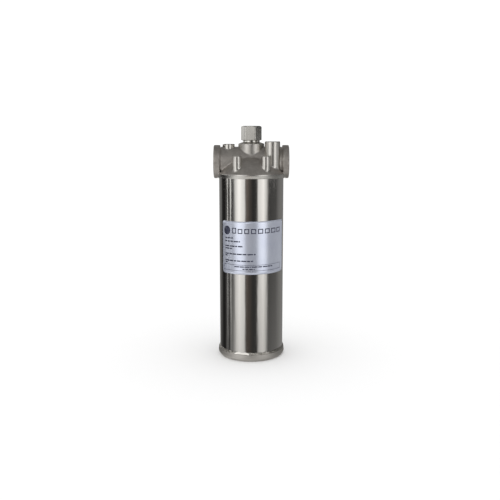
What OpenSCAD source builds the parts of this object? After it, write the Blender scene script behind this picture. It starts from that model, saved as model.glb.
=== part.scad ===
// Single-cartridge in-line filter housing, in millimetres.
// A bright tube bowl with a welded base stands on the floor. A cast head with two
// in-line ports closes it, and a cap nut on the centre rod pulls the two together.
// Origin: middle of the base's foot. +Z is up, the ports point along X, the front is -Y.

/* [Bowl] */
// Outer diameter of the bowl tube
bowl_od = 89; // [88:0.5:90]
// Wall thickness of the bowl tube
bowl_wall = 2; // [1.5:0.25:2.5]
// Height of the tube's open edge above the floor
tube_top = 253; // [243:1:263]

/* [Base] */
// How far the base lip stands proud of the tube
lip_proud = 2.1; // [1.5:0.1:2.5]
// Height of the widest part of the lip
lip_z = 5; // [4:0.5:6]
// Thickness of the base cap's floor
base_floor_t = 2.5; // [2:0.25:3]
// Distance of the drain from the centre
drain_offset = 30; // [29.5:0.1:30.5]

/* [Head] */
// Outer diameter of the head's turned rim
rim_od = 94.2; // [93.5:0.1:96]
// Height of the rim
rim_h = 5.4; // [5:0.1:6.5]
// How much narrower the rim is at its lower edge
rim_taper = 1.8; // [1:0.1:1.9]
// Radius of the head's domed crown
crown_r = 59; // [58:0.5:62]
// Outer diameter of the centre boss
boss_od = 35.6; // [33:0.2:36]
// Outer diameter of the vent boss
vent_boss_od = 20.6; // [19.4:0.2:21]
// Outer diameter of the gauge port boss
gauge_boss_od = 16.6; // [15.6:0.2:18]
// Outer diameter of a mounting boss
mount_boss_od = 12.4; // [10:0.2:13]
// Distance between mounting holes, side to side
mount_span_x = 38.4; // [36:0.4:40]
// Distance between mounting holes, front to back
mount_span_y = 66; // [64:0.5:67]

/* [Ports] */
// Face-to-face length over the two port collars
port_span = 102.6; // [101:0.2:106]
// Outer diameter of a port collar
collar_od = 45.4; // [43:0.2:46]
// Width of a port collar
collar_w = 9; // [7:0.5:9.5]
// Outer diameter of the barrel between the collars
barrel_od = 40.6; // [39:0.2:41]
// Inside diameter of the port thread
port_bore = 30.3; // [28:0.1:30.4]

/* [Cap nut] */
// Width across the flats of the cap nut
nut_flats = 25; // [24:0.5:27]
// Height of the hexagon
nut_hex_h = 18.6; // [17:0.2:21]
// Diameter of the nut's round neck
neck_od = 23.2; // [22:0.2:23.6]
// Turn of the hexagon about the rod
nut_turn = 52; // [0:1:59]
// Diameter of the centre rod
rod_d = 16; // [14:0.5:16]

/* [Cartridge] */
// Diameter over the cartridge's end caps
cartridge_od = 66; // [60:0.5:68]
// Length of the cartridge over its gaskets
cartridge_l = 248; // [240:1:248]
// Inside diameter of the cartridge core
core_bore = 27; // [26.5:0.1:28]
// Number of pleats
pleats = 40; // [24:1:44]

/* [Nameplate] */
// Height of the nameplate
plate_h = 72; // [40:1:90]
// Height of the nameplate's lower edge
plate_z = 122.6; // [100:0.2:150]
// Angle from the front to the plate's left end
plate_left = 60; // [30:1:80]
// Angle from the front to the plate's right end
plate_right = 70; // [30:1:80]

/* [Hidden] */
$fn = 96;
eps = 0.01;
run_fit = 0.05;                         // radial running clearance
bowl_r = bowl_od / 2;
bowl_in = bowl_r - bowl_wall;
rod_r = rod_d / 2;

// Base levels
recess_z = 2.5;                         // hollow under the base, inside the foot
floor_z = recess_z + base_floor_t;      // inside floor of the bowl
ledge_z = floor_z + 3;                  // the tube stands here
lip_top = floor_z + 5;                  // top of the lip, where the weld starts
weld_top = lip_top + 4.6;
foot_r = bowl_r - 0.9;
foot_w = 5.1;                           // width of the ring that meets the floor
lip_r = bowl_r + lip_proud;
rod_boss_r = 11;
rod_boss_top = floor_z + 3.5;
drain_boss_r = 9;
drain_boss_h = 5.5;

// Seat levels, from the spring washer up to the cartridge
washer_t = 0.8;
seat_z = floor_z + 6.5;
seat_plate_t = 1.6;
cartridge_z = seat_z + 2.6;
collar_top = cartridge_z + 5;           // top of the seat's centring collar
wire_r = 0.7;
spring_turns = 3;

// Head levels
skirt = 2;                              // the rim covers this much of the tube
gasket_t = 1.6;
rim_z = tube_top - skirt;
rim_top = rim_z + rim_h;
groove_top = tube_top + gasket_t;
crown_z = rim_top - sqrt(crown_r * crown_r - rim_od * rim_od / 4);
crown_wall = 5;
cavity_r = 40;
hub_z = cartridge_z + cartridge_l;      // the sealing edge on the cartridge
hub_r = 18;
chamber_r = 13;
axis_z = rim_z + 21.1;                  // height of the port axis
collar_in = port_span / 2 - collar_w;
thread_in = port_span / 2 - 14.3;
inlet_r = 12;
outlet_r = 9;
outlet_z = axis_z + 3.9;
boss_top = rim_z + 47.5;
vent_top = rim_z + 48.8;
gauge_top = rim_z + 45.2;
mount_top = rim_z + 29.8;
vent_xy = [28.5, -17];
gauge_xy = [-31, 0];

// Screwed plugs: [shank radius, head radius, head thickness, shank length, key flats]
plug_seal_t = 1.2;
vent_size = [6.15, 7.9, 2.3, 9, 6];
small_size = [4.6, 6.6, 1.8, 5.5, 5];

// Cap nut levels
nut_z = boss_top;
neck_h = 3.5;
hex_z = nut_z + neck_h;
nut_top = hex_z + nut_hex_h;
nut_seal_t = 1.5;
nut_seal_r = 11;
rod_top = nut_top - 5.2;

// ---- Helpers ----

// Points along an arc from angle a0 to a1 about [cx, cy]
function arc(cx, cy, r, a0, a1, steps = 6) =
    [for (i = [0 : steps]) let (a = a0 + (a1 - a0) * i / steps) [cx + r * cos(a), cy + r * sin(a)]];

// A ring with a rectangular section, from z0 to z1
module ring(r_in, r_out, z0, z1) {
    rotate_extrude() translate([r_in, z0]) square([r_out - r_in, z1 - z0]);
}

// A solid turned from a list of [radius, height] points
module turned(points) {
    rotate_extrude() polygon(points);
}

// A cylinder from z0 to z1
module post(r, z0, z1) {
    translate([0, 0, z0]) cylinder(r = r, h = z1 - z0);
}

// A post with a chamfered top edge
module chamfered_post(r, z0, z1, c) {
    turned([[0, z0], [r, z0], [r, z1 - c], [r - c, z1], [0, z1]]);
}

// A cylinder along X from x0 to x1, at height z
module bar_x(r, x0, x1, z) {
    translate([x0, 0, z]) rotate([0, 90, 0]) cylinder(r = r, h = x1 - x0);
}

// The four mounting boss positions
module at_mounts() {
    for (sx = [-1, 1], sy = [-1, 1])
        translate([sx * mount_span_x / 2, sy * mount_span_y / 2, 0]) children();
}

// ---- Bowl ----

// Tube with a broken inner and outer edge at its open end
module bowl_tube() {
    c = 0.3;
    color("silver") turned([[bowl_in, ledge_z], [bowl_r, ledge_z], [bowl_r, tube_top - c],
        [bowl_r - c, tube_top], [bowl_in + c, tube_top], [bowl_in, tube_top - c]]);
}

// Dished cap: recessed underside, annular foot, rounded lip and a ledge for the tube
module base_cap() {
    lip_mid = lip_z - 0.4;
    color("darkgray") difference() {
        turned(concat(
            [[0, recess_z], [foot_r - foot_w, recess_z]],
            arc(foot_r - foot_w + 1, 1, 1, 180, 270, 3),
            arc(foot_r - 1.4, lip_mid, lip_mid, 270, 305, 4),
            arc(lip_r - 3.6, lip_z, 3.6, -20, 35, 5),
            [[bowl_r + 1.5, lip_top], [bowl_r, lip_top], [bowl_r, ledge_z], [bowl_in, ledge_z],
            [bowl_in - 0.8, ledge_z - 1], [bowl_in - 2.4, floor_z], [0, floor_z]]));
        post(rod_boss_r - 2, 0, floor_z + 1);
        translate([0, drain_offset, 0]) post(drain_boss_r - 1, 0, floor_z + 1);
    }
}

// Rounded bead that fills the corner between the tube and the lip
module base_weld() {
    color("gray") turned(concat([[bowl_r, lip_top]],
        arc(bowl_r - 3.2, lip_top - 0.3, 4.9, 3.5, 49, 6), [[bowl_r, weld_top]]));
}

// Turned boss let into the middle of the base, with a blind hole for the rod
module rod_boss() {
    color("darkgray") turned([[0, recess_z], [rod_boss_r - 2, recess_z], [rod_boss_r - 2, floor_z],
        [rod_boss_r, floor_z], [rod_boss_r, rod_boss_top - 1], [rod_boss_r - 1, rod_boss_top],
        [rod_r, rod_boss_top], [rod_r, recess_z + 1.2], [0, recess_z + 1.2]]);
}

// Turned boss let into the base, tapped right through for the drain plug
module drain_boss() {
    r_in = small_size[0] + run_fit;
    r_sink = small_size[1] + 0.3;
    sink_z = recess_z + small_size[2] + plug_seal_t;
    color("darkgray") translate([0, drain_offset, 0])
        turned([[r_sink, recess_z], [drain_boss_r - 1, recess_z], [drain_boss_r - 1, floor_z],
            [drain_boss_r, floor_z], [drain_boss_r, floor_z + drain_boss_h - 1],
            [drain_boss_r - 1, floor_z + drain_boss_h], [r_in, floor_z + drain_boss_h],
            [r_in, sink_z], [r_sink, sink_z]]);
}

// Plain bar with a groove for the retaining ring and a chamfered upper end
module centre_rod() {
    groove_r = rod_r - 0.8;
    groove_z = collar_top + 0.6;
    color("silver") turned([[0, recess_z + 1.2], [rod_r, recess_z + 1.2], [rod_r, groove_z],
        [groove_r, groove_z], [groove_r, groove_z + 1.3], [rod_r, groove_z + 1.3],
        [rod_r, rod_top - 1.5], [rod_r - 1.5, rod_top], [0, rod_top]]);
}

// Open spring ring that stops the seat from leaving the rod
module retaining_ring() {
    color("dimgray") translate([0, 0, collar_top + 0.65]) rotate([0, 0, 30])
        rotate_extrude(angle = 300) translate([rod_r - 0.75, 0]) square([3, 1.2]);
}

module spring_washer() {
    color("gray") ring(rod_boss_r + 0.4, 18.6, floor_z, floor_z + washer_t);
}

// Thin foil wrapped round the front of the bowl: a sleeve cut by the plate's outline.
// The corners are drawn narrower by the slope of the bowl, so they come out round.
module nameplate() {
    foil_t = 0.3;
    corner = 4;
    reach = bowl_r + foil_t / 2;
    function quarter(side, up) = let (a = side < 0 ? plate_left : plate_right)
        [for (k = [0 : 5]) let (t = 90 * k / 5)
            [side * (reach * sin(a) - corner * cos(a) * (1 - cos(t))),
            plate_z + plate_h / 2 + up * (plate_h / 2 - corner * (1 - sin(t)))]];
    function flipped(list) = [for (i = [len(list) - 1 : -1 : 0]) list[i]];
    color("lightsteelblue") intersection() {
        ring(bowl_r, bowl_r + foil_t, plate_z - 1, plate_z + plate_h + 1);
        rotate([90, 0, 0]) linear_extrude(2 * bowl_r) polygon(concat(quarter(1, 1),
            flipped(quarter(-1, 1)), quarter(-1, -1), flipped(quarter(1, -1))));
    }
}

// ---- Cartridge seat ----

// Disc with a sealing bead and a centring collar that runs on the rod
module seat_cup() {
    r = rod_r + run_fit;
    ring_z = collar_top - 3.4;
    color("silver") turned([[r, seat_z], [20, seat_z], [20.4, seat_z + 0.4],
        [20.4, seat_z + seat_plate_t], [17.6, seat_z + seat_plate_t], [17, cartridge_z],
        [16.2, cartridge_z], [15.6, seat_z + seat_plate_t], [12.8, seat_z + seat_plate_t + 0.6],
        [12.8, collar_top - 1], [11.8, collar_top], [r, collar_top], [r, ring_z + 1.1],
        [r + 2.1, ring_z + 1.1], [r + 2.1, ring_z - 1.1], [r, ring_z - 1.1]]);
}

module seat_ring() {
    color("black") rotate_extrude() translate([rod_r + run_fit + 1.02, collar_top - 3.4])
        circle(r = 1, $fn = 32);
}

// Conical compression spring whose coils nest as the seat goes down
module seat_spring() {
    sides = 8;
    step = 15;
    rings = spring_turns * 360 / step;
    z_low = floor_z + washer_t + wire_r + 0.02;
    z_high = seat_z - wire_r - 0.02;
    wide = 17.2;
    narrow = 12.6;
    flat = 0.12;                        // share of the wire in each flat end coil
    points = [for (i = [0 : rings]) let (
            s = i / rings,
            rise = min(1, max(0, (s - flat) / (1 - 2 * flat))),
            r = wide + (narrow - wide) * s)
        for (k = [0 : sides - 1]) let (
            b = 360 * k / sides,
            rr = r + wire_r * cos(b))
        [rr * cos(step * i), rr * sin(step * i), z_low + (z_high - z_low) * rise + wire_r * sin(b)]];
    skin = [for (i = [0 : rings - 1], k = [0 : sides - 1]) let (n = (k + 1) % sides)
        [i * sides + k, i * sides + n, (i + 1) * sides + n, (i + 1) * sides + k]];
    ends = [[for (k = [sides - 1 : -1 : 0]) k], [for (k = [0 : sides - 1]) rings * sides + k]];
    color("silver") polyhedron(points = points, faces = concat(skin, ends), convexity = 10);
}

// ---- Cartridge ----

cap_t = 4;
cartridge_gasket_t = 3;
gasket_in = core_bore / 2 + 0.5;
gasket_out = 22;

// One end of the cartridge, drawn from its open face at z = 0 upwards
module end_cap() {
    r = cartridge_od / 2;
    t = cartridge_gasket_t - 1;         // the gasket stands this far out of the cap
    turned([[core_bore / 2, t], [core_bore / 2, t + cap_t], [r, t + cap_t], [r, t + 0.8],
        [r - 0.8, t], [gasket_out, t], [gasket_out, t + 1], [gasket_in, t + 1], [gasket_in, t]]);
}

module cartridge_bottom_cap() {
    color("white") translate([0, 0, cartridge_z]) end_cap();
}

module cartridge_top_cap() {
    color("white") translate([0, 0, hub_z]) mirror([0, 0, 1]) end_cap();
}

module cartridge_bottom_gasket() {
    color("dimgray") ring(gasket_in, gasket_out, cartridge_z, cartridge_z + cartridge_gasket_t);
}

module cartridge_top_gasket() {
    color("dimgray") ring(gasket_in, gasket_out, hub_z - cartridge_gasket_t, hub_z);
}

media_z0 = cartridge_z + cartridge_gasket_t - 1 + cap_t;
media_z1 = hub_z - cartridge_gasket_t + 1 - cap_t;

module cartridge_core() {
    color("white") ring(core_bore / 2, core_bore / 2 + 2, media_z0, media_z1);
}

// Pleated sheet: two star outlines, a radial step apart
module cartridge_media() {
    fold = 360 / pleats;
    peak = cartridge_od / 2 - 1.2;
    valley = core_bore / 2 + 2.3;
    sheet = 4;                          // radial thickness, about 0.5 across the sheet
    function star(outer, inner) = [for (i = [0 : pleats - 1], k = [0, 1])
        let (a = fold * (i + k / 2), r = k == 0 ? outer : inner) [r * cos(a), r * sin(a)]];
    color("ivory") translate([0, 0, media_z0]) difference() {
        linear_extrude(media_z1 - media_z0) polygon(star(peak, valley + sheet));
        translate([0, 0, -1]) linear_extrude(media_z1 - media_z0 + 2)
            polygon(star(peak - sheet, valley));
    }
}

// ---- Head ----

// Tapered rim, spherical crown, barrel, collars and bosses, before any machining
module head_outside() {
    rim_r = rim_od / 2;
    turned([[0, rim_z], [rim_r - rim_taper, rim_z], [rim_r, rim_top - 1], [rim_r, rim_top],
        [0, rim_top]]);
    intersection() {
        translate([0, 0, crown_z]) sphere(r = crown_r);
        post(crown_r, rim_top, rim_top + crown_r);
    }
    bar_x(barrel_od / 2, -collar_in, collar_in, axis_z);
    for (side = [-1, 1]) port_collar(side);
    turned([[0, axis_z], [boss_od / 2, axis_z], [boss_od / 2, boss_top - 1.9],
        [neck_od / 2 + 0.8, boss_top], [0, boss_top]]);
    translate(vent_xy) chamfered_post(vent_boss_od / 2, rim_top, vent_top, 0.5);
    translate(gauge_xy) chamfered_post(gauge_boss_od / 2, axis_z, gauge_top, 0.5);
    at_mounts() chamfered_post(mount_boss_od / 2, rim_top, mount_top, 0.4);
}

// Thick collar with rounded rims at one end of the barrel
module port_collar(side) {
    r = collar_od / 2;
    e = 1.6;
    translate([side * collar_in, 0, axis_z]) rotate([0, side * 90, 0])
        turned(concat([[0, -1], [barrel_od / 2 - 0.8, -1], [barrel_od / 2 - 0.8, 0]],
            arc(r - 0.8, 0.8, 0.8, -90, 0, 2), arc(r - e, collar_w - e, e, 0, 90, 4),
            [[0, collar_w]]));
}

// Water space under the crown, kept off the outlet hub, its pipe and both port walls
module head_cavity() {
    difference() {
        intersection() {
            translate([0, 0, crown_z]) sphere(r = crown_r - crown_wall);
            post(cavity_r, groove_top - eps, crown_z + crown_r);
        }
        post(hub_r, hub_z, crown_z + crown_r);
        bar_x(outlet_r + 3, 0, cavity_r + 5, outlet_z);
        bar_x(port_bore / 2 + 3, thread_in - 4, thread_in + 20, axis_z);
        bar_x(port_bore / 2 + 3, -thread_in - 20, -thread_in + 0.5, axis_z);
    }
}

// Tapped port with a chamfered mouth
module port_hole(side) {
    r = port_bore / 2;
    mouth = 1.6;
    translate([side * thread_in, 0, axis_z]) rotate([0, side * 90, 0])
        turned([[0, 0], [r, 0], [r, port_span / 2 - thread_in - mouth],
            [r + mouth, port_span / 2 - thread_in], [r + mouth, port_span / 2 - thread_in + 2],
            [0, port_span / 2 - thread_in + 2]]);
}

// Tapped hole with a sunk seat for a plug and its seal, from the boss top z
module plug_hole(size, z, drill_z, drill_r) {
    post(size[1] + 0.3, z - size[2] - plug_seal_t, z + 1);
    post(size[0] + run_fit, z - size[2] - plug_seal_t - size[3] - 1, z);
    post(drill_r, drill_z, z);
}

module head_casting() {
    mount_hole_r = 2.5;
    color("dimgray") difference() {
        head_outside();
        post(bowl_r + 0.1, rim_z - 5, groove_top);
        head_cavity();
        post(chamber_r, hub_z - 1, outlet_z + outlet_r + 2);
        post(rod_r + 0.6, hub_z - 1, boss_top + 1);
        post(nut_seal_r + 0.2, boss_top - nut_seal_t, boss_top + 1);
        bar_x(inlet_r, -thread_in - 1, -hub_r - 1, axis_z);
        bar_x(outlet_r, 0, thread_in + 1, outlet_z);
        for (side = [-1, 1]) port_hole(side);
        translate(vent_xy) plug_hole(vent_size, vent_top, rim_top + 4, 3);
        translate(gauge_xy) plug_hole(small_size, gauge_top, axis_z, 2.5);
        at_mounts() post(mount_hole_r, mount_top - 12, mount_top + 1);
    }
}

module bowl_gasket() {
    color("black") ring(bowl_in - 1.2, bowl_r, tube_top, groove_top);
}

// ---- Cap nut ----

module cap_nut_seal() {
    color("black") ring(rod_r + 0.7, nut_seal_r, nut_z - nut_seal_t, nut_z);
}

// Hexagon with both rims chamfered to 30 degrees, a round neck and a blind thread
module cap_nut() {
    corner_r = nut_flats / 2 / cos(30);
    bevel = (corner_r - nut_flats / 2 + 0.6) * tan(30);
    hole = rod_r + run_fit;
    color("silver") rotate([0, 0, nut_turn]) difference() {
        union() {
            post(neck_od / 2, nut_z, hex_z + 1);
            intersection() {
                translate([0, 0, hex_z]) cylinder(r = corner_r, h = nut_hex_h, $fn = 6);
                turned([[0, hex_z], [nut_flats / 2 - 0.6, hex_z], [corner_r, hex_z + bevel],
                    [corner_r + 1, hex_z + bevel + 0.6], [corner_r + 1, nut_top - bevel - 0.6],
                    [corner_r, nut_top - bevel], [nut_flats / 2 - 0.6, nut_top], [0, nut_top]]);
            }
        }
        post(hole, nut_z - 1, rod_top + 1.5);
    }
}

// ---- Plugs ----

// Socket plug standing head up, with the underside of its head at z = 0
module socket_plug(size) {
    difference() {
        turned([[0, -size[3]], [size[0] - 0.8, -size[3]], [size[0], -size[3] + 0.8], [size[0], 0],
            [size[1], 0], [size[1], size[2] - 0.4], [size[1] - 0.4, size[2]], [0, size[2]]]);
        translate([0, 0, size[2] - 4]) cylinder(r = size[4] / 2 / cos(30), h = 5, $fn = 6);
    }
}

module plug_seal(size) {
    ring(size[0] + 0.1, size[1], -plug_seal_t, 0);
}

module at_vent() {
    translate([vent_xy[0], vent_xy[1], vent_top - vent_size[2]]) children();
}

module at_gauge() {
    translate([gauge_xy[0], gauge_xy[1], gauge_top - small_size[2]]) children();
}

// The drain plug hangs head down in the base
module at_drain() {
    translate([0, drain_offset, recess_z + small_size[2]]) mirror([0, 0, 1]) children();
}

module vent_plug() {
    color("silver") at_vent() socket_plug(vent_size);
}

module vent_plug_seal() {
    color("black") at_vent() plug_seal(vent_size);
}

module gauge_plug() {
    color("silver") at_gauge() socket_plug(small_size);
}

module gauge_plug_seal() {
    color("black") at_gauge() plug_seal(small_size);
}

module drain_plug() {
    color("silver") at_drain() socket_plug(small_size);
}

module drain_plug_seal() {
    color("black") at_drain() plug_seal(small_size);
}

bowl_tube();
base_cap();
base_weld();
rod_boss();
drain_boss();
centre_rod();
retaining_ring();
spring_washer();
nameplate();
seat_cup();
seat_ring();
seat_spring();
cartridge_media();
cartridge_core();
cartridge_top_cap();
cartridge_bottom_cap();
cartridge_top_gasket();
cartridge_bottom_gasket();
head_casting();
bowl_gasket();
cap_nut_seal();
cap_nut();
vent_plug_seal();
vent_plug();
gauge_plug_seal();
gauge_plug();
drain_plug_seal();
drain_plug();
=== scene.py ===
# %% [markdown]
# # A stainless cartridge filter housing
# The object is an upright pressure vessel for one 10 inch cartridge: a bright tube bowl with a
# welded base, a cast head with two in-line ports, and a cap nut on a centre rod. The CAD frame
# fixes every size and every motion. This lesson rebuilds each piece as a dense, clean mesh in
# that frame, gives it the finish of its real metal or rubber, and lights it like a catalogue shot.

# %% Load the frame
import math

import bmesh
import bpy
import numpy as np
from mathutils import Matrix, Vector, noise


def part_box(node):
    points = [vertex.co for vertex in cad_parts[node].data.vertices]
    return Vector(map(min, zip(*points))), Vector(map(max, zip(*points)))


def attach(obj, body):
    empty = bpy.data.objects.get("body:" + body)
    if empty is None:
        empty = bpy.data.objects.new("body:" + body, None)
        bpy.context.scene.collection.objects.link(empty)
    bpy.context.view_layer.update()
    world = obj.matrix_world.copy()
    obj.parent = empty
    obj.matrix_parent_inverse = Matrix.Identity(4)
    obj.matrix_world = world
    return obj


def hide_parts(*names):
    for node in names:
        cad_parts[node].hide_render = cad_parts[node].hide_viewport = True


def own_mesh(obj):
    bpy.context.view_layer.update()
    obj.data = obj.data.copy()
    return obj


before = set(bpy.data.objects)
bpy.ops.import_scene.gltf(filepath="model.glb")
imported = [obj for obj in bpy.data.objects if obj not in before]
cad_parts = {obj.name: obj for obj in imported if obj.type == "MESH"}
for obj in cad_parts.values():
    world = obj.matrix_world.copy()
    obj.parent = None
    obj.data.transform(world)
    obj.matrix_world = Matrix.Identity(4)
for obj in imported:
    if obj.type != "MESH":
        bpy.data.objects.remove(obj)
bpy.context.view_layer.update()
MM = 0.001

# %% [markdown]
# ## Sizes
# Every piece goes where the CAD node lies, so most levels come from the nodes' own boxes. Those
# that a box can't tell, such as a wall or a fillet, are named in millimetres where they are used.


# %% Sizes in millimetres
def box_mm(node):
    """Lowest and highest corner of a CAD node, in millimetres."""
    low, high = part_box(node)
    return np.array(low) / MM, np.array(high) / MM


def levels(node):
    """Bottom, top and largest X of a CAD node, in millimetres."""
    low, high = box_mm(node)
    return low[2], high[2], high[0]


TUBE_Z0, TUBE_Z1, BOWL_R = levels("bowl_tube")
CAP_Z0, LIP_TOP, LIP_R = levels("base_cap")
_, WELD_Z1, WELD_R = levels("base_weld")
GASKET_Z0, GROOVE_TOP, _ = levels("bowl_gasket")
HEX_LOW, HEX_HIGH = box_mm("cap_nut")
ROD_Z0, ROD_TOP, ROD_R = levels("centre_rod")
HEAD_LOW, HEAD_HIGH = box_mm("head_casting")
HALF_FLAT = 12.5
BOWL_WALL = 2.0
BOWL_IN = BOWL_R - BOWL_WALL
RUN_FIT = 0.05
BOSS_TOP = HEX_LOW[2]
HUB_Z = box_mm("cartridge_top_gasket")[1][2]
print(f"bowl radius {BOWL_R:.2f}, cap nut on {BOSS_TOP:.2f}, top at {HEAD_HIGH[2]:.2f} mm")

# %% [markdown]
# ## Colours and nodes
# Colours are picked as sRGB hex values, and a shader wants linear ones, so one function turns
# them. One more function adds a node, sets its options, and fills or links its sockets. Every
# pattern's scale is the size in millimetres of one blob, line or pit of the real surface.


# %% Colour and node helpers
def linear(code):
    """Turns an sRGB hex colour, such as '#c8c6c2', to linear RGBA."""
    parts = [int(code[i : i + 2], 16) / 255 for i in (1, 3, 5)]
    return (*[c / 12.92 if c <= 0.04045 else ((c + 0.055) / 1.055) ** 2.4 for c in parts], 1.0)


def add_node(tree, kind, *values, settings=None, **sockets):
    """Adds a shader node. values fill its sockets in their order, and sockets fill them by name.
    A value may be a number, a colour, another node's output, or a node, for its first output."""
    node = tree.nodes.new("ShaderNode" + kind)
    for name, value in (settings or {}).items():
        setattr(node, name, value)
    live = [s for s in node.inputs if s.enabled]
    by_name = {s.name: s for s in reversed(live)}
    pairs = list(zip(live, values))
    pairs += [(by_name[name.replace("_", " ")], value) for name, value in sockets.items()]
    for socket, value in pairs:
        if isinstance(value, bpy.types.Node):
            value = next(s for s in value.outputs if s.enabled)
        if isinstance(value, bpy.types.NodeSocket):
            tree.links.new(value, socket)
        else:
            socket.default_value = value
    return node


def new_tree(name):
    """A new material and its empty node tree."""
    material = bpy.data.materials.new(name)
    material.use_nodes = True
    material.node_tree.nodes.clear()
    return material, material.node_tree


def surfaced(material, **sockets):
    """Ends a material with its Principled shader, whose sockets are set or linked here."""
    shader = add_node(material.node_tree, "BsdfPrincipled", **sockets)
    add_node(material.node_tree, "OutputMaterial", Surface=shader)
    return material


def per(size):
    """A noise's scale for blobs of that many millimetres, on coordinates in metres."""
    return 1 / (size * MM)


def unrolled(tree, radius, wide, tall):
    """Coordinates on the side of a round piece of that radius, as if it were unrolled: one step
    for each wide millimetres round it, and one for each tall millimetres of height."""
    axes = add_node(tree, "SeparateXYZ", add_node(tree, "TexCoord").outputs["Object"])
    turn = add_node(
        tree, "Math", axes.outputs["Y"], axes.outputs["X"], settings={"operation": "ARCTAN2"}
    )
    around = add_node(tree, "Math", turn, radius / wide, settings={"operation": "MULTIPLY"})
    upward = add_node(tree, "Math", axes.outputs["Z"], per(tall), settings={"operation": "MULTIPLY"})
    return add_node(tree, "CombineXYZ", around, upward)


IN_COLOUR = {"data_type": "RGBA"}

# %% [markdown]
# ## Stainless steel, five ways
# All the metal is 304 or 316 stainless steel, so the colour hardly changes, and what the eye
# tells apart is how each surface was made. The bowl is welded tube with a bright polish: sharp
# reflections, drawn out a little by faint streaks along the tube, and bent by slow ripples that
# rolling the sheet has left.


# %% Bright polished tube
def bright_tube_steel():
    """Bright-polished 304 tube: near-mirror, with faint lengthwise draw lines and slow ripples."""
    material, tree = new_tree("bright_polished_304_tube")
    lines = add_node(tree, "TexNoise", unrolled(tree, BOWL_R, 0.333, 152.0), 1.0, 4.0, 0.6)
    ripple = add_node(tree, "TexNoise", unrolled(tree, BOWL_R, 6.29, 45.5), 1.0, 1.0)
    smears = add_node(tree, "TexNoise", unrolled(tree, BOWL_R, 3.49, 11.9), 1.0, 2.0, 0.6)
    fine = add_node(tree, "Bump", Height=lines, Distance=0.004 * MM)
    return surfaced(
        material,
        Base_Color=linear("#cfccc7"),
        Metallic=1.0,
        Roughness=add_node(tree, "MapRange", smears, 0.3, 0.75, 0.07, 0.14),
        Normal=add_node(tree, "Bump", Height=ripple, Distance=0.11 * MM, Normal=fine),
    )


TUBE_STEEL = bright_tube_steel()

# %% [markdown]
# Plugs, rod and base are turned on a lathe. The tool leaves rings as far apart as its feed, which
# spread a reflection upwards and downwards. One function makes the three grades, since only
# the feed, the depth of the rings and the polish differ. Noise with a long step round the axis
# gives rings that are uneven, as real ones are.


# %% Turned steel
def turned_steel(name, colour, low, high, feed, depth):
    """Lathe-turned stainless: rings one feed apart, and a roughness that handling has varied."""
    material, tree = new_tree(name)
    place = add_node(tree, "TexCoord").outputs["Object"]
    # At a radius of 30 mm a ring changes about every 20 mm of its length
    rings = add_node(tree, "TexNoise", unrolled(tree, 30.0, 20.0, feed), 1.0, 2.0, 0.7)
    handling = add_node(tree, "TexNoise", place, per(11.1), 4.0)
    return surfaced(
        material,
        Base_Color=linear(colour),
        Metallic=1.0,
        Roughness=add_node(tree, "MapRange", handling, 0.3, 0.7, low, high),
        Normal=add_node(tree, "Bump", Height=rings, Distance=depth * MM),
    )


TURNED_STEEL = turned_steel("turned_316_bar", "#c4c1bb", 0.24, 0.34, 0.35, 0.004)
SATIN_STEEL = turned_steel("satin_pressed_304", "#cfcbc5", 0.50, 0.58, 0.6, 0.006)
NECK_STEEL = turned_steel("polished_316_bar", "#cfccc6", 0.12, 0.20, 0.30, 0.002)

# %% [markdown]
# The cap nut is cut from hexagon bar. Its flats keep the streaks of the drawing die, which run
# along the bar, and only its round neck has been on the lathe. One material does both: the mesh
# carries a value named "turned", and the shader blends by it.


# %% Brushed hexagon steel
def hexagon_steel():
    """Drawn 316 hexagon bar, streaked along its length. Its "turned" neck is polished bright."""
    material, tree = new_tree("brushed_316_hexagon")
    neck = add_node(tree, "Attribute", settings={"attribute_name": "turned"}).outputs["Fac"]
    streaks = add_node(tree, "TexNoise", unrolled(tree, HALF_FLAT, 0.71, 44.6), 1.0, 4.0, 0.7)
    shade = add_node(tree, "MapRange", streaks, 0.35, 0.65, 0.0, 1.0)
    flats = add_node(tree, "MapRange", streaks, 0.3, 0.7, 0.22, 0.30)
    return surfaced(
        material,
        Base_Color=add_node(
            tree, "Mix", shade, linear("#c0beb8"), linear("#d9d7d1"), settings=IN_COLOUR
        ),
        Metallic=1.0,
        Roughness=add_node(tree, "Mix", neck, flats, 0.1),
        Normal=add_node(tree, "Bump", Height=streaks, Distance=0.0015 * MM),
    )


NUT_STEEL = hexagon_steel()

# %% [markdown]
# The head is an investment casting, blasted with beads to an even dull grey. Beads leave pits
# of a millimetre or two with a finer grain inside, and slow mottling comes from the shell it was
# cast in. Where a tool has cut the skin, the metal is paler and smoother, and the mesh says where.


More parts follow.
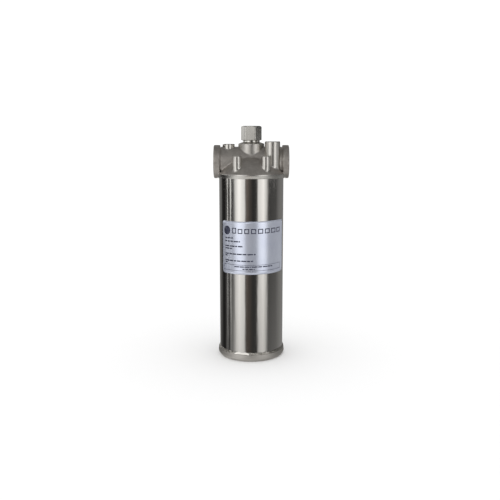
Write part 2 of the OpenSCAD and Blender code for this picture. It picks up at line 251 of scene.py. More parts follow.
# %% Cast steel with machined faces
def cast_steel():
    """Investment-cast stainless, bead-blasted to a dull grey. Where the piece's "machined"
    value rises, the skin has been cut away: 0.5 is a rough turned face, and 1 a polished one."""
    material, tree = new_tree("bead_blasted_cast_316")
    place = add_node(tree, "TexCoord").outputs["Object"]
    machined = add_node(tree, "Attribute", settings={"attribute_name": "machined"}).outputs["Fac"]
    mottle = add_node(tree, "TexNoise", place, per(8.33), 5.0, 0.6)
    pits = add_node(tree, "TexNoise", place, per(2.38), 3.0, 0.6)
    grain = add_node(tree, "TexNoise", place, per(0.667), 2.0, 0.6)
    patches = add_node(tree, "MapRange", mottle, 0.35, 0.7, 0.0, 1.0)
    skin = add_node(
        tree, "Mix", patches, linear("#b5b0aa"), linear("#cac5bf"), settings=IN_COLOUR
    )
    bared = add_node(tree, "MapRange", machined, 0.0, 0.6, 0.0, 1.0)
    cut = add_node(tree, "MapRange", machined, 0.0, 0.5, 0.0, 1.0)
    blasted = add_node(tree, "MapRange", pits, 0.3, 0.7, 0.46, 0.60)
    turned = add_node(tree, "MapRange", machined, 0.5, 1.0, 0.38, 0.13)
    relief = add_node(tree, "Math", grain, pits, settings={"operation": "ADD"})
    relief_left = add_node(tree, "MapRange", machined, 0.0, 0.6, 1.0, 0.1)
    return surfaced(
        material,
        Base_Color=add_node(tree, "Mix", bared, skin, linear("#d3d0ca"), settings=IN_COLOUR),
        Metallic=1.0,
        Roughness=add_node(tree, "Mix", cut, blasted, turned),
        Normal=add_node(tree, "Bump", Height=relief, Distance=0.05 * MM, Strength=relief_left),
    )


CAST_STEEL = cast_steel()

# %% [markdown]
# The weld round the base was wire-brushed by hand and ground flat at one place. Its shape comes
# from the mesh, and the material adds what is too small for it: bright brushed spots and dull
# hollows, which fade out where the bead is "ground".


# %% Weld bead's steel
def weld_steel():
    """A hand-dressed weld: pitted and smeared, with bright spots, dull hollows, a ground flat."""
    material, tree = new_tree("dressed_stainless_weld")
    place = add_node(tree, "TexCoord").outputs["Object"]
    flush = add_node(tree, "Attribute", settings={"attribute_name": "ground"}).outputs["Fac"]
    spots = add_node(tree, "TexNoise", place, per(2.08), 4.0, 0.65)
    shade = add_node(tree, "MapRange", spots, 0.42, 0.58, 0.0, 1.0)
    bead = add_node(tree, "Mix", shade, linear("#77726a"), linear("#e4e0d8"), settings=IN_COLOUR)
    rough = add_node(tree, "MapRange", spots, 0.38, 0.6, 0.5, 0.2)
    relief_left = add_node(tree, "MapRange", flush, 0.0, 1.0, 1.0, 0.1)
    return surfaced(
        material,
        Base_Color=add_node(tree, "Mix", flush, bead, linear("#dedbd5"), settings=IN_COLOUR),
        Metallic=1.0,
        Roughness=add_node(tree, "Mix", flush, rough, 0.24),
        Normal=add_node(tree, "Bump", Height=spots, Distance=0.4 * MM, Strength=relief_left),
    )


WELD_STEEL = weld_steel()

# %% [markdown]
# ## Foil and ink
# The nameplate is satin aluminium foil under a thin coat of lacquer, printed in blue-black screen
# ink. The foil is partly metal and partly lacquer to the eye, so its metallic value lies between
# the two, and the coat adds a soft shine over it.


# %% Foil and ink
def satin_foil():
    """Satin aluminium foil with a lacquer coat: soft broad reflections, cool tint."""
    material, tree = new_tree("lacquered_aluminium_foil")
    place = add_node(tree, "TexCoord").outputs["Object"]
    grain = add_node(tree, "TexNoise", unrolled(tree, BOWL_R, 0.391, 0.4), 1.0, 3.0, 0.6)
    cloud = add_node(tree, "TexNoise", place, per(16.7), 3.0)
    return surfaced(
        material,
        Base_Color=add_node(
            tree, "Mix", cloud, linear("#c9cee0"), linear("#dde2ee"), settings=IN_COLOUR
        ),
        Metallic=0.6,
        Roughness=add_node(tree, "MapRange", grain, 0.3, 0.7, 0.19, 0.27),
        Coat_Weight=0.25,
        Coat_Roughness=0.25,
        Normal=add_node(tree, "Bump", Height=grain, Distance=0.01 * MM),
    )


def printing_ink():
    """Blue-black screen ink: a thin, slightly glossy film, worn a little in spots."""
    material, tree = new_tree("screen_ink")
    wear = add_node(
        tree, "TexNoise", add_node(tree, "TexCoord").outputs["Object"], per(1.11), 2.0
    )
    return surfaced(
        material,
        Base_Color=add_node(
            tree, "Mix", wear, linear("#23263a"), linear("#343850"), settings=IN_COLOUR
        ),
        Roughness=add_node(tree, "MapRange", wear, 0.3, 0.7, 0.38, 0.5),
    )


FOIL = satin_foil()
INK = printing_ink()

# %% [markdown]
# ## Rubber, plastic and fleece
# The seals are nitrile rubber: nearly black, matt, and slightly paler where talc clings. The
# cartridge is white polypropylene, which light enters a little way, and its pleats are a
# felt-like fleece of the same plastic. All four come from one function: a slow pattern sets the
# shade and the gloss, and a fine one sets the relief.


# %% Rubber, polypropylene and fleece
def matt_finish(name, shades, blob, share, gloss, grain, depth, **sockets):
    """A matt material. share is the range of the slow pattern that blends the two shades, gloss
    is its range of roughness, and blob and grain are (size, detail, roughness) of the patterns."""
    material, tree = new_tree(name)
    place = add_node(tree, "TexCoord").outputs["Object"]
    slow = add_node(tree, "TexNoise", place, per(blob[0]), *blob[1:])
    fine = add_node(tree, "TexNoise", place, per(grain[0]), *grain[1:])
    blend = add_node(tree, "MapRange", slow, *share, 0.0, 1.0)
    return surfaced(
        material,
        Base_Color=add_node(tree, "Mix", blend, *map(linear, shades), settings=IN_COLOUR),
        Roughness=add_node(tree, "MapRange", slow, 0.3, 0.7, *gloss),
        Normal=add_node(tree, "Bump", Height=fine, Distance=depth * MM),
        **sockets,
    )


BLOOM = ((3.85, 4.0, 0.6), (0.45, 0.75), (0.55, 0.75), (0.455, 2.0), 0.02)
SEAL_RUBBER = matt_finish("nitrile_seal_rubber", ("#131312", "#242422"), *BLOOM)
PAD_RUBBER = matt_finish("soft_gasket_rubber", ("#2b2b2a", "#3c3b39"), *BLOOM)
PLASTIC = matt_finish(
    "moulded_polypropylene", ("#e4e3dd", "#f0efea"), (14.3, 3.0), (0.0, 1.0), (0.34, 0.46),
    (0.769, 2.0), 0.015, Subsurface_Weight=0.15, Subsurface_Scale=2 * MM, IOR=1.49,
)
FLEECE = matt_finish(
    "melt_blown_fleece", ("#d8d3c4", "#f1eee4"), (0.556, 5.0, 0.75), (0.0, 1.0), (0.8, 0.95),
    (0.556, 5.0, 0.75), 0.12, Sheen_Weight=0.3,
)
print("materials:", len(bpy.data.materials))

# %% [markdown]
# ## Making meshes
# Most pieces are round, so they are turned: an outline of radius and height goes round the axis.
# Real turned edges are broken, never knife sharp, so each outline corner carries its own fillet.
# A short straight stretch is kept beside each fillet, which holds the smooth shading flat there.


# %% Turned pieces
def rounded(corners, closed=True, steps=4, hold=0.25):
    """Rounds an outline. corners is [(radius, height, fillet)], the result [(radius, height)]."""
    places = np.array([c[:2] for c in corners], float)
    count = len(corners)
    result = []
    for i, corner in enumerate(corners):
        here = places[i]
        fillet = corner[2] if len(corner) > 2 else 0.0
        if fillet <= 0 or (not closed and i in (0, count - 1)):
            result.append(tuple(here))
            continue
        back, ahead = places[i - 1] - here, places[(i + 1) % count] - here
        back_l, ahead_l = np.linalg.norm(back), np.linalg.norm(ahead)
        back, ahead = back / back_l, ahead / ahead_l
        half = math.acos(max(-1.0, min(1.0, float(back @ ahead)))) / 2
        run = min(fillet / math.tan(half), 0.42 * back_l, 0.42 * ahead_l)
        radius = run * math.tan(half)
        centre = here + (back + ahead) / np.linalg.norm(back + ahead) * radius / math.sin(half)
        first, last = here + back * run - centre, here + ahead * run - centre
        spread = math.pi - 2 * half
        side = np.sign(first[0] * last[1] - first[1] * last[0])
        result.append(tuple(here + back * (run + min(hold, 0.3 * (back_l - run)))))
        for k in range(steps + 1):
            a = side * spread * k / steps
            turned = (
                first[0] * math.cos(a) - first[1] * math.sin(a),
                first[0] * math.sin(a) + first[1] * math.cos(a),
            )
            result.append(tuple(centre + turned))
        result.append(tuple(here + ahead * (run + min(hold, 0.3 * (ahead_l - run)))))
    return result


def finish_piece(name, points, faces, material, body, slot, nodes=()):
    """Makes a smooth mesh object from millimetre points, and hangs it on its CAD body."""
    mesh = bpy.data.meshes.new(name)
    mesh.from_pydata((np.asarray(points, float) * MM).tolist(), [], faces)
    mesh.validate()
    work = bmesh.new()
    work.from_mesh(mesh)
    bmesh.ops.recalc_face_normals(work, faces=work.faces)
    work.to_mesh(mesh)
    work.free()
    mesh.shade_smooth()
    piece = bpy.data.objects.new(name, mesh)
    bpy.context.scene.collection.objects.link(piece)
    mesh.materials.append(material)
    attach(piece, body)
    if nodes:
        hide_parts(*nodes)
    print(f"{name}: {len(mesh.vertices)} points, {len(mesh.polygons)} faces")
    return piece


def spin(outline, steps, closed, shape=None, centre=(0.0, 0.0), start=0.0, span=2 * math.pi):
    """Points and faces of an outline turned about Z. shape may move the outline at each angle."""
    outline = np.asarray(outline, float)
    whole = abs(span - 2 * math.pi) < 1e-9
    count = len(outline)
    columns = steps if whole else steps + 1
    points = []
    for k in range(columns):
        a = start + span * k / steps
        section = outline if shape is None else shape(a, outline)
        points += [
            (centre[0] + r * math.cos(a), centre[1] + r * math.sin(a), z) for r, z in section
        ]
    faces = []
    for k in range(steps):
        low, high = k * count, ((k + 1) % columns) * count
        for i in range(count if closed else count - 1):
            j = (i + 1) % count
            faces.append((low + i, low + j, high + j, high + i))
    if not whole:
        faces.append(tuple(range(count)))
        faces.append(tuple(range((columns - 1) * count, columns * count))[::-1])
    return points, faces


def merge_axis(points, faces):
    """Joins the points that lie on the axis, so a turned piece closes at its middle."""
    keep, places, index = {}, [], []
    for p in points:
        key = tuple(round(c, 5) for c in p)
        if key not in keep:
            keep[key] = len(places)
            places.append(p)
        index.append(keep[key])
    result = []
    for face in faces:
        loop = list(dict.fromkeys(index[i] for i in face))
        if len(loop) > 2:
            result.append(tuple(loop))
    return places, result


def band(inner, outer, low, high, fillet, upper=None):
    """The outline of a flat ring. upper is the fillet of its upper corners, where it differs."""
    upper = fillet if upper is None else upper
    return [(inner, low, fillet), (outer, low, fillet), (outer, high, upper), (inner, high, upper)]


def turn(
    name, corners, material, body, slot, nodes=(),
    closed=True, steps=160, shape=None, centre=(0, 0), fillet_steps=4,
):
    """A turned piece from an outline with fillets. closed=False is for a solid one, whose outline
    starts and ends on the axis."""
    outline = rounded(corners, closed, fillet_steps)
    points, faces = spin(outline, steps, closed, shape, centre)
    return finish_piece(name, *merge_axis(points, faces), material, body, slot, nodes)


# %% [markdown]
# ## Carving castings and hexagons
# A casting has no sharp inside corners: every boss flows into its wall with a fillet. Joining
# solids and bevelling the seams breaks down where three fillets meet, so the head is made from a
# distance field instead. Each form is a function that says how far a point is from its surface,
# and a soft minimum joins two forms with a fillet between them. The surface where the distance
# is zero is then meshed with one point in each small cube that it crosses, and every point is
# pulled onto the true surface. A cap nut and a socket plug are carved in the same way.


# %% Distance fields
def soft_min(a, b, fillet):
    """The union of two forms, with a fillet of about that size where they meet."""
    near = np.maximum(fillet - np.abs(a - b), 0) / fillet
    return np.minimum(a, b) - near * near * fillet / 4


def soft_max(a, b, fillet):
    """The intersection of two forms, with edges broken by about that size."""
    return -soft_min(-a, -b, fillet)


def disc_field(radius, along, r, low, high, edge):
    """A cylinder with rounded edges: r is the distance from its axis, along the place on it."""
    side = r - (radius - edge)
    end = np.abs(along - (low + high) / 2) - ((high - low) / 2 - edge)
    outside = np.sqrt(np.maximum(side, 0) ** 2 + np.maximum(end, 0) ** 2)
    return outside + np.minimum(np.maximum(side, end), 0) - edge


def carve(name, field, low, high, cell, material, body, slot, nodes=(), attribute=None):
    """Meshes the zero surface of a distance field inside a box, with cubes of one cell a side."""
    low, high = np.array(low, float) - 1.5 * cell, np.array(high, float) + 1.5 * cell
    counts = np.ceil((high - low) / cell).astype(int) + 1
    axes = [low[i] + cell * np.arange(counts[i]) for i in range(3)]
    values = np.empty(counts)
    for i, x in enumerate(axes[0]):
        y, z = np.meshgrid(axes[1], axes[2], indexing="ij")
        values[i] = field(np.full_like(y, x), y, z)
    inside = values < 0
    cells = counts - 1
    total = np.zeros((*cells, 3))
    hits = np.zeros(cells)
    edges = []
    grid = np.meshgrid(*axes, indexing="ij")
    for axis in range(3):
        near = tuple(slice(None, -1) if i == axis else slice(None) for i in range(3))
        far = tuple(slice(1, None) if i == axis else slice(None) for i in range(3))
        crossed = inside[near] != inside[far]
        where = np.argwhere(crossed)
        a, b = values[near][crossed], values[far][crossed]
        place = np.stack([g[near][crossed] for g in grid], 1)
        place[:, axis] += cell * a / (a - b)
        others = [i for i in range(3) if i != axis]
        ring = []
        for step in ((0, 0), (-1, 0), (-1, -1), (0, -1)):
            cube = where.copy()
            cube[:, others[0]] += step[0]
            cube[:, others[1]] += step[1]
            np.add.at(total, tuple(cube.T), place)
            np.add.at(hits, tuple(cube.T), 1)
            ring.append(cube)
        edges.append((ring, inside[near][crossed], axis))
    used = hits > 0
    number = np.full(cells, -1)
    number[used] = np.arange(used.sum())
    points = total[used] / hits[used][:, None]
    faces = []
    for ring, begins_inside, axis in edges:
        loops = np.stack([number[tuple(c.T)] for c in ring], 1)
        flip = begins_inside if axis != 1 else ~begins_inside
        loops[~flip] = loops[~flip][:, ::-1]
        faces.append(loops)
    points = settle(field, points, 0.15 * cell, 0.9 * cell)
    piece = finish_piece(
        name, points, np.concatenate(faces).tolist(), material, body, slot, nodes
    )
    if attribute:
        layer = piece.data.attributes.new(attribute[0], "FLOAT", "POINT")
        layer.data.foreach_set("value", attribute[1](*points.T).astype(np.float32))
    return piece


def settle(field, points, step, reach):
    """Pulls points onto the zero surface along its slope, each by no more than reach."""
    start = points.copy()
    for _ in range(4):
        slope = np.stack(
            [
                field(*(points + d).T) - field(*(points - d).T)
                for d in np.eye(3) * step
            ],
            1,
        ) / (2 * step)
        size = np.maximum((slope**2).sum(1, keepdims=True), 0.2)
        points = points - slope * field(*points.T)[:, None] / size
        moved = points - start
        far = np.maximum(np.linalg.norm(moved, axis=1, keepdims=True) / reach, 1)
        points = start + moved / far
    return points


# %% [markdown]
# ## Threads
# A helical thread is only a groove whose depth depends on height and angle together. So a
# turned outline with many points along the threaded stretch is enough: each point moves in by
# the thread's wave, and the wave comes out one pitch further on after a full turn.


# %% Thread helpers
def thread_wave(turns):
    """0 on a crest and 1 in a root, with flat crests and roots as on a cut thread."""
    share = np.abs((turns % 1.0) * 2 - 1)
    return np.clip((share - 0.18) / 0.64, 0, 1)


def stretch(radius, low, high, step=0.25):
    """Outline corners every step along a straight stretch, without fillets."""
    count = max(2, int(abs(high - low) / step))
    return [(radius, z) for z in np.linspace(low, high, count)]


def threaded(radius, low, high, pitch, depth):
    """A shape function that cuts a helical thread between two heights, with run-outs."""

    def shape(angle, outline):
        z = outline[:, 1]
        on_it = (np.abs(outline[:, 0] - radius) < 0.02) & (z > low) & (z < high)
        fade = np.clip(np.minimum(z - low, high - z) / (0.6 * pitch), 0, 1)
        cut = depth * fade * thread_wave(z / pitch - angle / (2 * math.pi))
        moved = outline.copy()
        moved[:, 0] -= np.where(on_it, cut, 0)
        return moved

    return shape


# %% [markdown]
# ## The bowl
# The bowl is a plain tube, cut square and broken at its edges, that stands on a ledge inside the
# base cap. It gets more columns than other pieces, since its polish shows every facet.

# %% Bowl tube
turn(
    "bowl_tube_polished",
    band(BOWL_IN, BOWL_R, TUBE_Z0, TUBE_Z1, 0.1, 0.5),
    TUBE_STEEL, "bowl", "bright_tube", ["bowl_tube"], steps=288,
)

# %% [markdown]
# The base cap is a pressing with a hollow underside, a foot ring and a rolled lip. It is turned
# like the tube, and its one opening off the axis, for the drain, is then cut with a boolean. The
# turned boss in its middle holds the centre rod.


# %% Base cap and rod boss
FLOOR_Z = CAP_Z0 + 5.0
RECESS_Z = CAP_Z0 + 2.5
FOOT_R = BOWL_R - 0.9
LEDGE_Z = TUBE_Z0
ROD_BOSS_R = box_mm("rod_boss")[1][0]
ROD_BOSS_TOP = box_mm("rod_boss")[1][2]
DRAIN_AT = (0.0, 30.0)
DRAIN_R = 9.0
DRAIN_TOP = box_mm("drain_boss")[1][2]


def hole_in(piece, centre, radius, low, high, steps=96):
    """Cuts a round hole along Z through a piece."""
    bpy.ops.mesh.primitive_cylinder_add(
        vertices=steps, radius=radius * MM, depth=(high - low) * MM,
        location=(centre[0] * MM, centre[1] * MM, (low + high) / 2 * MM),
    )
    drill = bpy.context.object
    cut = piece.modifiers.new("hole", "BOOLEAN")
    cut.operation, cut.solver, cut.object = "DIFFERENCE", "EXACT", drill
    shape = bpy.data.meshes.new_from_object(
        piece.evaluated_get(bpy.context.evaluated_depsgraph_get())
    )
    piece.modifiers.remove(cut)
    piece.data = shape
    bpy.data.objects.remove(drill, do_unlink=True)


base = turn(
    "base_cap_pressed",
    [
        (ROD_BOSS_R - 2, RECESS_Z, 0), (FOOT_R - 5.1, RECESS_Z, 0.8), (FOOT_R - 5.1, CAP_Z0, 1.2),
        (FOOT_R - 0.2, CAP_Z0, 1.6), (LIP_R, CAP_Z0 + 4.0, 3.0), (LIP_R, CAP_Z0 + 6.6, 2.4),
        (LIP_R - 0.62, LIP_TOP, 0.3),
        (BOWL_R, LIP_TOP, 0), (BOWL_R, LEDGE_Z, 0), (BOWL_IN, LEDGE_Z, 0.3),
        (BOWL_IN - 2.4, FLOOR_Z, 1.6), (ROD_BOSS_R - 2, FLOOR_Z, 0),
    ],
    SATIN_STEEL, "bowl", "turned_steel", ["base_cap"], steps=288, fillet_steps=7,
)
hole_in(base, DRAIN_AT, DRAIN_R - 1.0, CAP_Z0 - 1, FLOOR_Z + 1)

turn(
    "rod_boss_turned",
    [
        (0, RECESS_Z), (ROD_BOSS_R - 2, RECESS_Z, 0.3), (ROD_BOSS_R - 2, FLOOR_Z, 0),
        (ROD_BOSS_R, FLOOR_Z, 0), (ROD_BOSS_R, ROD_BOSS_TOP, 0.9), (ROD_R, ROD_BOSS_TOP, 0.3),
        (ROD_R, RECESS_Z + 1.2, 0), (0, RECESS_Z + 1.2),
    ],
    TURNED_STEEL, "bowl", "turned_steel", ["rod_boss"], closed=False,
)

# %% [markdown]
# The drain boss is a turned bush with a pipe thread and a sink for the plug's head, so the sizes
# of the plugs come first. The thread is cut by moving the outline's points, turn by turn.

# %% Plug sizes and drain boss
# Screwed plugs: shank radius, head radius, head thickness, shank length, key width
VENT_PLUG = (6.15, 7.9, 2.3, 9.0, 6.0)
SMALL_PLUG = (4.6, 6.6, 1.8, 5.5, 5.0)
SEAL_T = 1.2
SINK_R = SMALL_PLUG[1] + 0.3
SINK_Z = RECESS_Z + SMALL_PLUG[2] + SEAL_T
BORE_R = SMALL_PLUG[0] + RUN_FIT
turn(
    "drain_boss_tapped",
    [
        (SINK_R, RECESS_Z, 0.2), (DRAIN_R - 1, RECESS_Z, 0), (DRAIN_R - 1, FLOOR_Z, 0),
        (DRAIN_R, FLOOR_Z, 0), (DRAIN_R, DRAIN_TOP, 0.9), (BORE_R, DRAIN_TOP, 0.4),
        *stretch(BORE_R, DRAIN_TOP - 0.6, SINK_Z + 0.3), (BORE_R, SINK_Z, 0), (SINK_R, SINK_Z, 0),
    ],
    TURNED_STEEL, "bowl", "turned_steel", ["drain_boss"], centre=DRAIN_AT,
    shape=threaded(BORE_R, SINK_Z + 0.3, DRAIN_TOP - 0.6, 0.907, -0.45),
)

# %% [markdown]
# ## The weld
# The weld is laid by hand, so no two places are alike. A turned bead gets overlapping crescents
# about 2.6 mm apart, then slow and fine noise on top, and both are strongest on the left. Just
# left of the front the fitter has ground one stretch flat, which leans back a little and shines.

# %% Weld bead
BEAD = [(BOWL_R - 0.2, LIP_TOP - 0.1)]
BEAD_R = 4.9
BEAD += [
    (BOWL_R - 3.2 + BEAD_R * math.cos(a), LIP_TOP - 0.3 + BEAD_R * math.sin(a))
    for a in np.radians(np.linspace(3.5, 50, 16))
]
BEAD += [(BOWL_R - 0.05, WELD_Z1 - 0.35), (BOWL_R - 0.2, WELD_Z1 - 0.3)]
GROUND_AT = math.radians(253.5)
GROUND_HALF = math.radians(15.5)
GROUND_LEAN = math.radians(12.0)
CRESCENT = 2.6


def ground(angle):
    """1 along the stretch, left of the front, that was ground flat, and 0 elsewhere."""
    return min(1.0, max(0.0, (GROUND_HALF - abs(angle - GROUND_AT)) / math.radians(2.0)))


def bead_shape(angle, outline):
    """Moves the bead in by crescents and noise. It never leaves the CAD weld."""
    rough_side = 0.5 - 0.5 * math.cos(angle - math.radians(35))
    strength = 0.28 + 0.72 * rough_side**1.5
    moved = outline.copy()
    for i in range(1, len(outline) - 1):
        r, z = outline[i]
        along = angle * BOWL_R
        crescent = abs(((along + 0.105 * (z - LIP_TOP) ** 2) / CRESCENT) % 1.0 - 0.5)
        place = Vector((math.cos(angle) * 28, math.sin(angle) * 28, z * 0.45))
        lumps = noise.noise(place * 0.55) + 0.6 * noise.noise(place * 1.7)
        cut = strength * (0.34 * crescent + 0.6 * max(0.0, 0.35 + lumps)) * (1 - 0.9 * ground(angle))
        edge = min(1.0, (i - 1) / 3, (len(outline) - 2 - i) / 3 + 0.15)
        reach = r - cut * edge - 0.04
        if ground(angle) > 0:
            flat = (WELD_R - 0.1) * math.cos(0.8 * GROUND_HALF) - (z - LIP_TOP) * math.tan(GROUND_LEAN)
            reach = min(reach, flat / math.cos(angle - GROUND_AT))
        moved[i, 0] = max(BOWL_R - 0.1, reach)
        moved[i, 1] = z - 0.5 * cut * edge
    return moved


weld = turn(
    "base_weld_bead", BEAD, WELD_STEEL, "bowl", "weld_steel", ["base_weld"], steps=720,
    shape=bead_shape,
)
spots = np.array([(p.co.x, p.co.y) for p in weld.data.vertices])
turns = np.arctan2(spots[:, 1], spots[:, 0]) % (2 * math.pi)
layer = weld.data.attributes.new("ground", "FLOAT", "POINT")
layer.data.foreach_set("value", np.array([ground(a) for a in turns], np.float32))

# %% [markdown]
# ## The centre rod, its ring and its washer
# The rod is plain ground bar with a rolled M16 thread at its upper end, where the cap nut goes.
# A groove near the base holds an open spring ring that keeps the cartridge seat from leaving.

# %% Rod, ring and washer
RING_LOW, RING_HIGH = box_mm("retaining_ring")
GROOVE_R = ROD_R - 0.8
THREAD_LOW = BOSS_TOP - 8.0
turn(
    "centre_rod_ground",
    [
        (0, ROD_Z0), (ROD_R, ROD_Z0, 0.3), (ROD_R, RING_LOW[2] - 0.05, 0.1),
        (GROOVE_R, RING_LOW[2] - 0.05, 0.1), (GROOVE_R, RING_HIGH[2] + 0.05, 0.1),
        (ROD_R, RING_HIGH[2] + 0.05, 0.1), *stretch(ROD_R, THREAD_LOW, ROD_TOP - 1.7),
        (ROD_R - 1.6, ROD_TOP, 0.2), (0, ROD_TOP),
    ],
    NECK_STEEL, "bowl", "turned_steel", ["centre_rod"], closed=False, steps=128,
    shape=threaded(ROD_R, THREAD_LOW, ROD_TOP - 1.2, 2.0, 1.15),
)

ring_outline = rounded(
    [
        (ROD_R - 0.75, RING_LOW[2], 0.15), (ROD_R + 2.25, RING_LOW[2], 0.2),
        (ROD_R + 2.25, RING_HIGH[2], 0.2), (ROD_R - 0.75, RING_HIGH[2], 0.15),
    ],
    hold=0.1,
)
RING_GAP = math.radians(60)
ring_points, ring_faces = spin(
    ring_outline, 120, True, start=RING_GAP / 2, span=2 * math.pi - RING_GAP
)
finish_piece(
    "retaining_ring_sprung", ring_points, ring_faces, TURNED_STEEL, "bowl", "spring_steel",
    ["retaining_ring"],
)

WASHER_LOW, WASHER_HIGH = box_mm("spring_washer")
turn(
    "spring_washer_punched",
    [
        (ROD_BOSS_R + 0.4, WASHER_LOW[2], 0.1), (WASHER_HIGH[0], WASHER_LOW[2], 0.3),
        (WASHER_HIGH[0], WASHER_HIGH[2], 0.1), (ROD_BOSS_R + 0.4, WASHER_HIGH[2], 0.3),
    ],
    TURNED_STEEL, "bowl", "turned_steel", ["spring_washer"],
)

# %% [markdown]
# ## The cartridge seat and its spring
# A light turned seat stands under the cartridge and slides on the rod. Its ridge bites into the
# cartridge's gasket, and a rubber ring in its collar seals it on the rod.

# %% Seat and ring
SEAT_LOW, SEAT_HIGH = box_mm("seat_cup")
PLATE_TOP = SEAT_LOW[2] + 1.6
RIDGE_TOP = SEAT_LOW[2] + 2.6
RIDGE_R = 16.6
SEAT_COLLAR_R = 12.8
COLLAR_TOP = SEAT_HIGH[2]
SLIDE_R = ROD_R + RUN_FIT
RING_Z = COLLAR_TOP - 3.4
turn(
    "seat_cup_turned",
    [
        (SLIDE_R, SEAT_LOW[2], 0.3), (SEAT_HIGH[0], SEAT_LOW[2], 0.5), (SEAT_HIGH[0], PLATE_TOP, 0.5),
        (RIDGE_R + 1.0, PLATE_TOP, 0.3), (RIDGE_R + 0.4, RIDGE_TOP, 0.25),
        (RIDGE_R - 0.4, RIDGE_TOP, 0.25), (RIDGE_R - 1.0, PLATE_TOP, 0.3),
        (SEAT_COLLAR_R, PLATE_TOP, 0.8), (SEAT_COLLAR_R, COLLAR_TOP, 1.0), (SLIDE_R, COLLAR_TOP, 0.3),
        (SLIDE_R, RING_Z + 1.1, 0.15), (SLIDE_R + 2.1, RING_Z + 1.1, 0.2),
        (SLIDE_R + 2.1, RING_Z - 1.1, 0.2), (SLIDE_R, RING_Z - 1.1, 0.15),
    ],
    TURNED_STEEL, "seat", "turned_steel", ["seat_cup"],
)


def o_ring(name, centre_r, z, wire, material, body, slot, nodes):
    """A torus of one wire radius about Z."""
    outline = [
        (centre_r + wire * math.cos(a), z + wire * math.sin(a))
        for a in np.linspace(0, 2 * math.pi, 25)[:-1]
    ]
    points, faces = spin(outline, 128, True)
    return finish_piece(name, points, faces, material, body, slot, nodes)


o_ring(
    "seat_ring_moulded", SLIDE_R + 1.02, RING_Z, 1.0, SEAL_RUBBER, "seat", "gasket_rubber",
    ["seat_ring"],
)

# %% [markdown]
# A conical spring pushes the seat up, so that both ends of the cartridge seal. Its coils get
# narrower as they rise and nest inside one another when the seat goes down. A wire's circle is
# carried along the spiral, which rises slower at both ends, where the coils are closed. The
# spring is one piece.

# %% Conical spring
WIRE = 0.7
COIL_LOW_R, COIL_TOP_R = 17.2, 12.6
SPRING_Z0 = WASHER_HIGH[2] + WIRE + 0.02
SPRING_Z1 = SEAT_LOW[2] - WIRE - 0.02
SPRING_TURNS = 3
SIDES, STEPS = 16, 320
spring_points, spring_faces = [], []
for i in range(STEPS + 1):
    share = i / STEPS
    rise = min(1.0, max(0.0, (share - 0.12) / 0.76))
    rise = rise * rise * (3 - 2 * rise)
    angle = share * SPRING_TURNS * 2 * math.pi
    radius = COIL_LOW_R + (COIL_TOP_R - COIL_LOW_R) * share
    for k in range(SIDES):
        b = 2 * math.pi * k / SIDES
        reach = radius + WIRE * math.cos(b)
        height = SPRING_Z0 + (SPRING_Z1 - SPRING_Z0) * rise + WIRE * math.sin(b)
        spring_points.append((reach * math.cos(angle), reach * math.sin(angle), height))
for i in range(STEPS):
    for k in range(SIDES):
        n = (k + 1) % SIDES
        low, high = i * SIDES, (i + 1) * SIDES
        spring_faces.append((low + k, low + n, high + n, high + k))
spring_faces.append(tuple(range(SIDES))[::-1])
spring_faces.append(tuple(STEPS * SIDES + k for k in range(SIDES)))
spring = finish_piece(
    "seat_spring_wound", spring_points, spring_faces, NECK_STEEL, "bowl", "spring_steel",
    ["seat_spring"],
)
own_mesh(spring)

# %% [markdown]
# ## The pleated cartridge
# The cartridge is a core tube between two moulded end caps, with a flat gasket in each. Both
# ends are the same but for the way they face, so one function turns them.

# %% Core, end caps and gaskets
CART_LOW = box_mm("cartridge_bottom_gasket")[0]
MEDIA_LOW, MEDIA_HIGH = box_mm("cartridge_media")
CORE_R = box_mm("cartridge_core")[1][0]
CORE_BORE = CORE_R - 2.0
CAP_R = box_mm("cartridge_bottom_cap")[1][0]
PAD_IN, PAD_OUT = 14.0, 22.0


def cartridge_end(name, node, gasket_name, gasket_node, face, way):
    """One end cap and its gasket. face is the gasket's open face, and way points inwards."""
    turn(
        name,
        [
            (CORE_BORE, face + 2 * way, 0.3), (CORE_BORE, face + 6 * way, 0.3),
            (CAP_R, face + 6 * way, 0.5), (CAP_R, face + 2 * way, 0.9),
            (PAD_OUT, face + 2 * way, 0.2), (PAD_OUT, face + 3 * way, 0),
            (PAD_IN, face + 3 * way, 0), (PAD_IN, face + 2 * way, 0.1),
        ],
        PLASTIC, "cartridge", "white_plastic", [node], fillet_steps=5,
    )
    turn(
        gasket_name,
        band(PAD_IN, PAD_OUT, face, face + 3 * way, 0.5, 0.1),
        PAD_RUBBER, "cartridge", "cartridge_rubber", [gasket_node],
    )


cartridge_end(
    "cartridge_bottom_cap_moulded", "cartridge_bottom_cap",
    "cartridge_bottom_gasket_cut", "cartridge_bottom_gasket", CART_LOW[2], 1,
)
cartridge_end(
    "cartridge_top_cap_moulded", "cartridge_top_cap",
    "cartridge_top_gasket_cut", "cartridge_top_gasket", HUB_Z, -1,
)
turn(
    "cartridge_core_moulded",
    band(CORE_BORE, CORE_R, MEDIA_LOW[2], MEDIA_HIGH[2], 0.1),
    PLASTIC, "cartridge", "white_plastic", ["cartridge_core"], steps=96,
)

# %% [markdown]
# The filter medium is one long sheet of fleece folded to and fro, and then closed to a ring.
# Its folds are round, not sharp, so the sheet's middle line is a star with softened points, and
# the two skins lie half a sheet's thickness on either side of it.

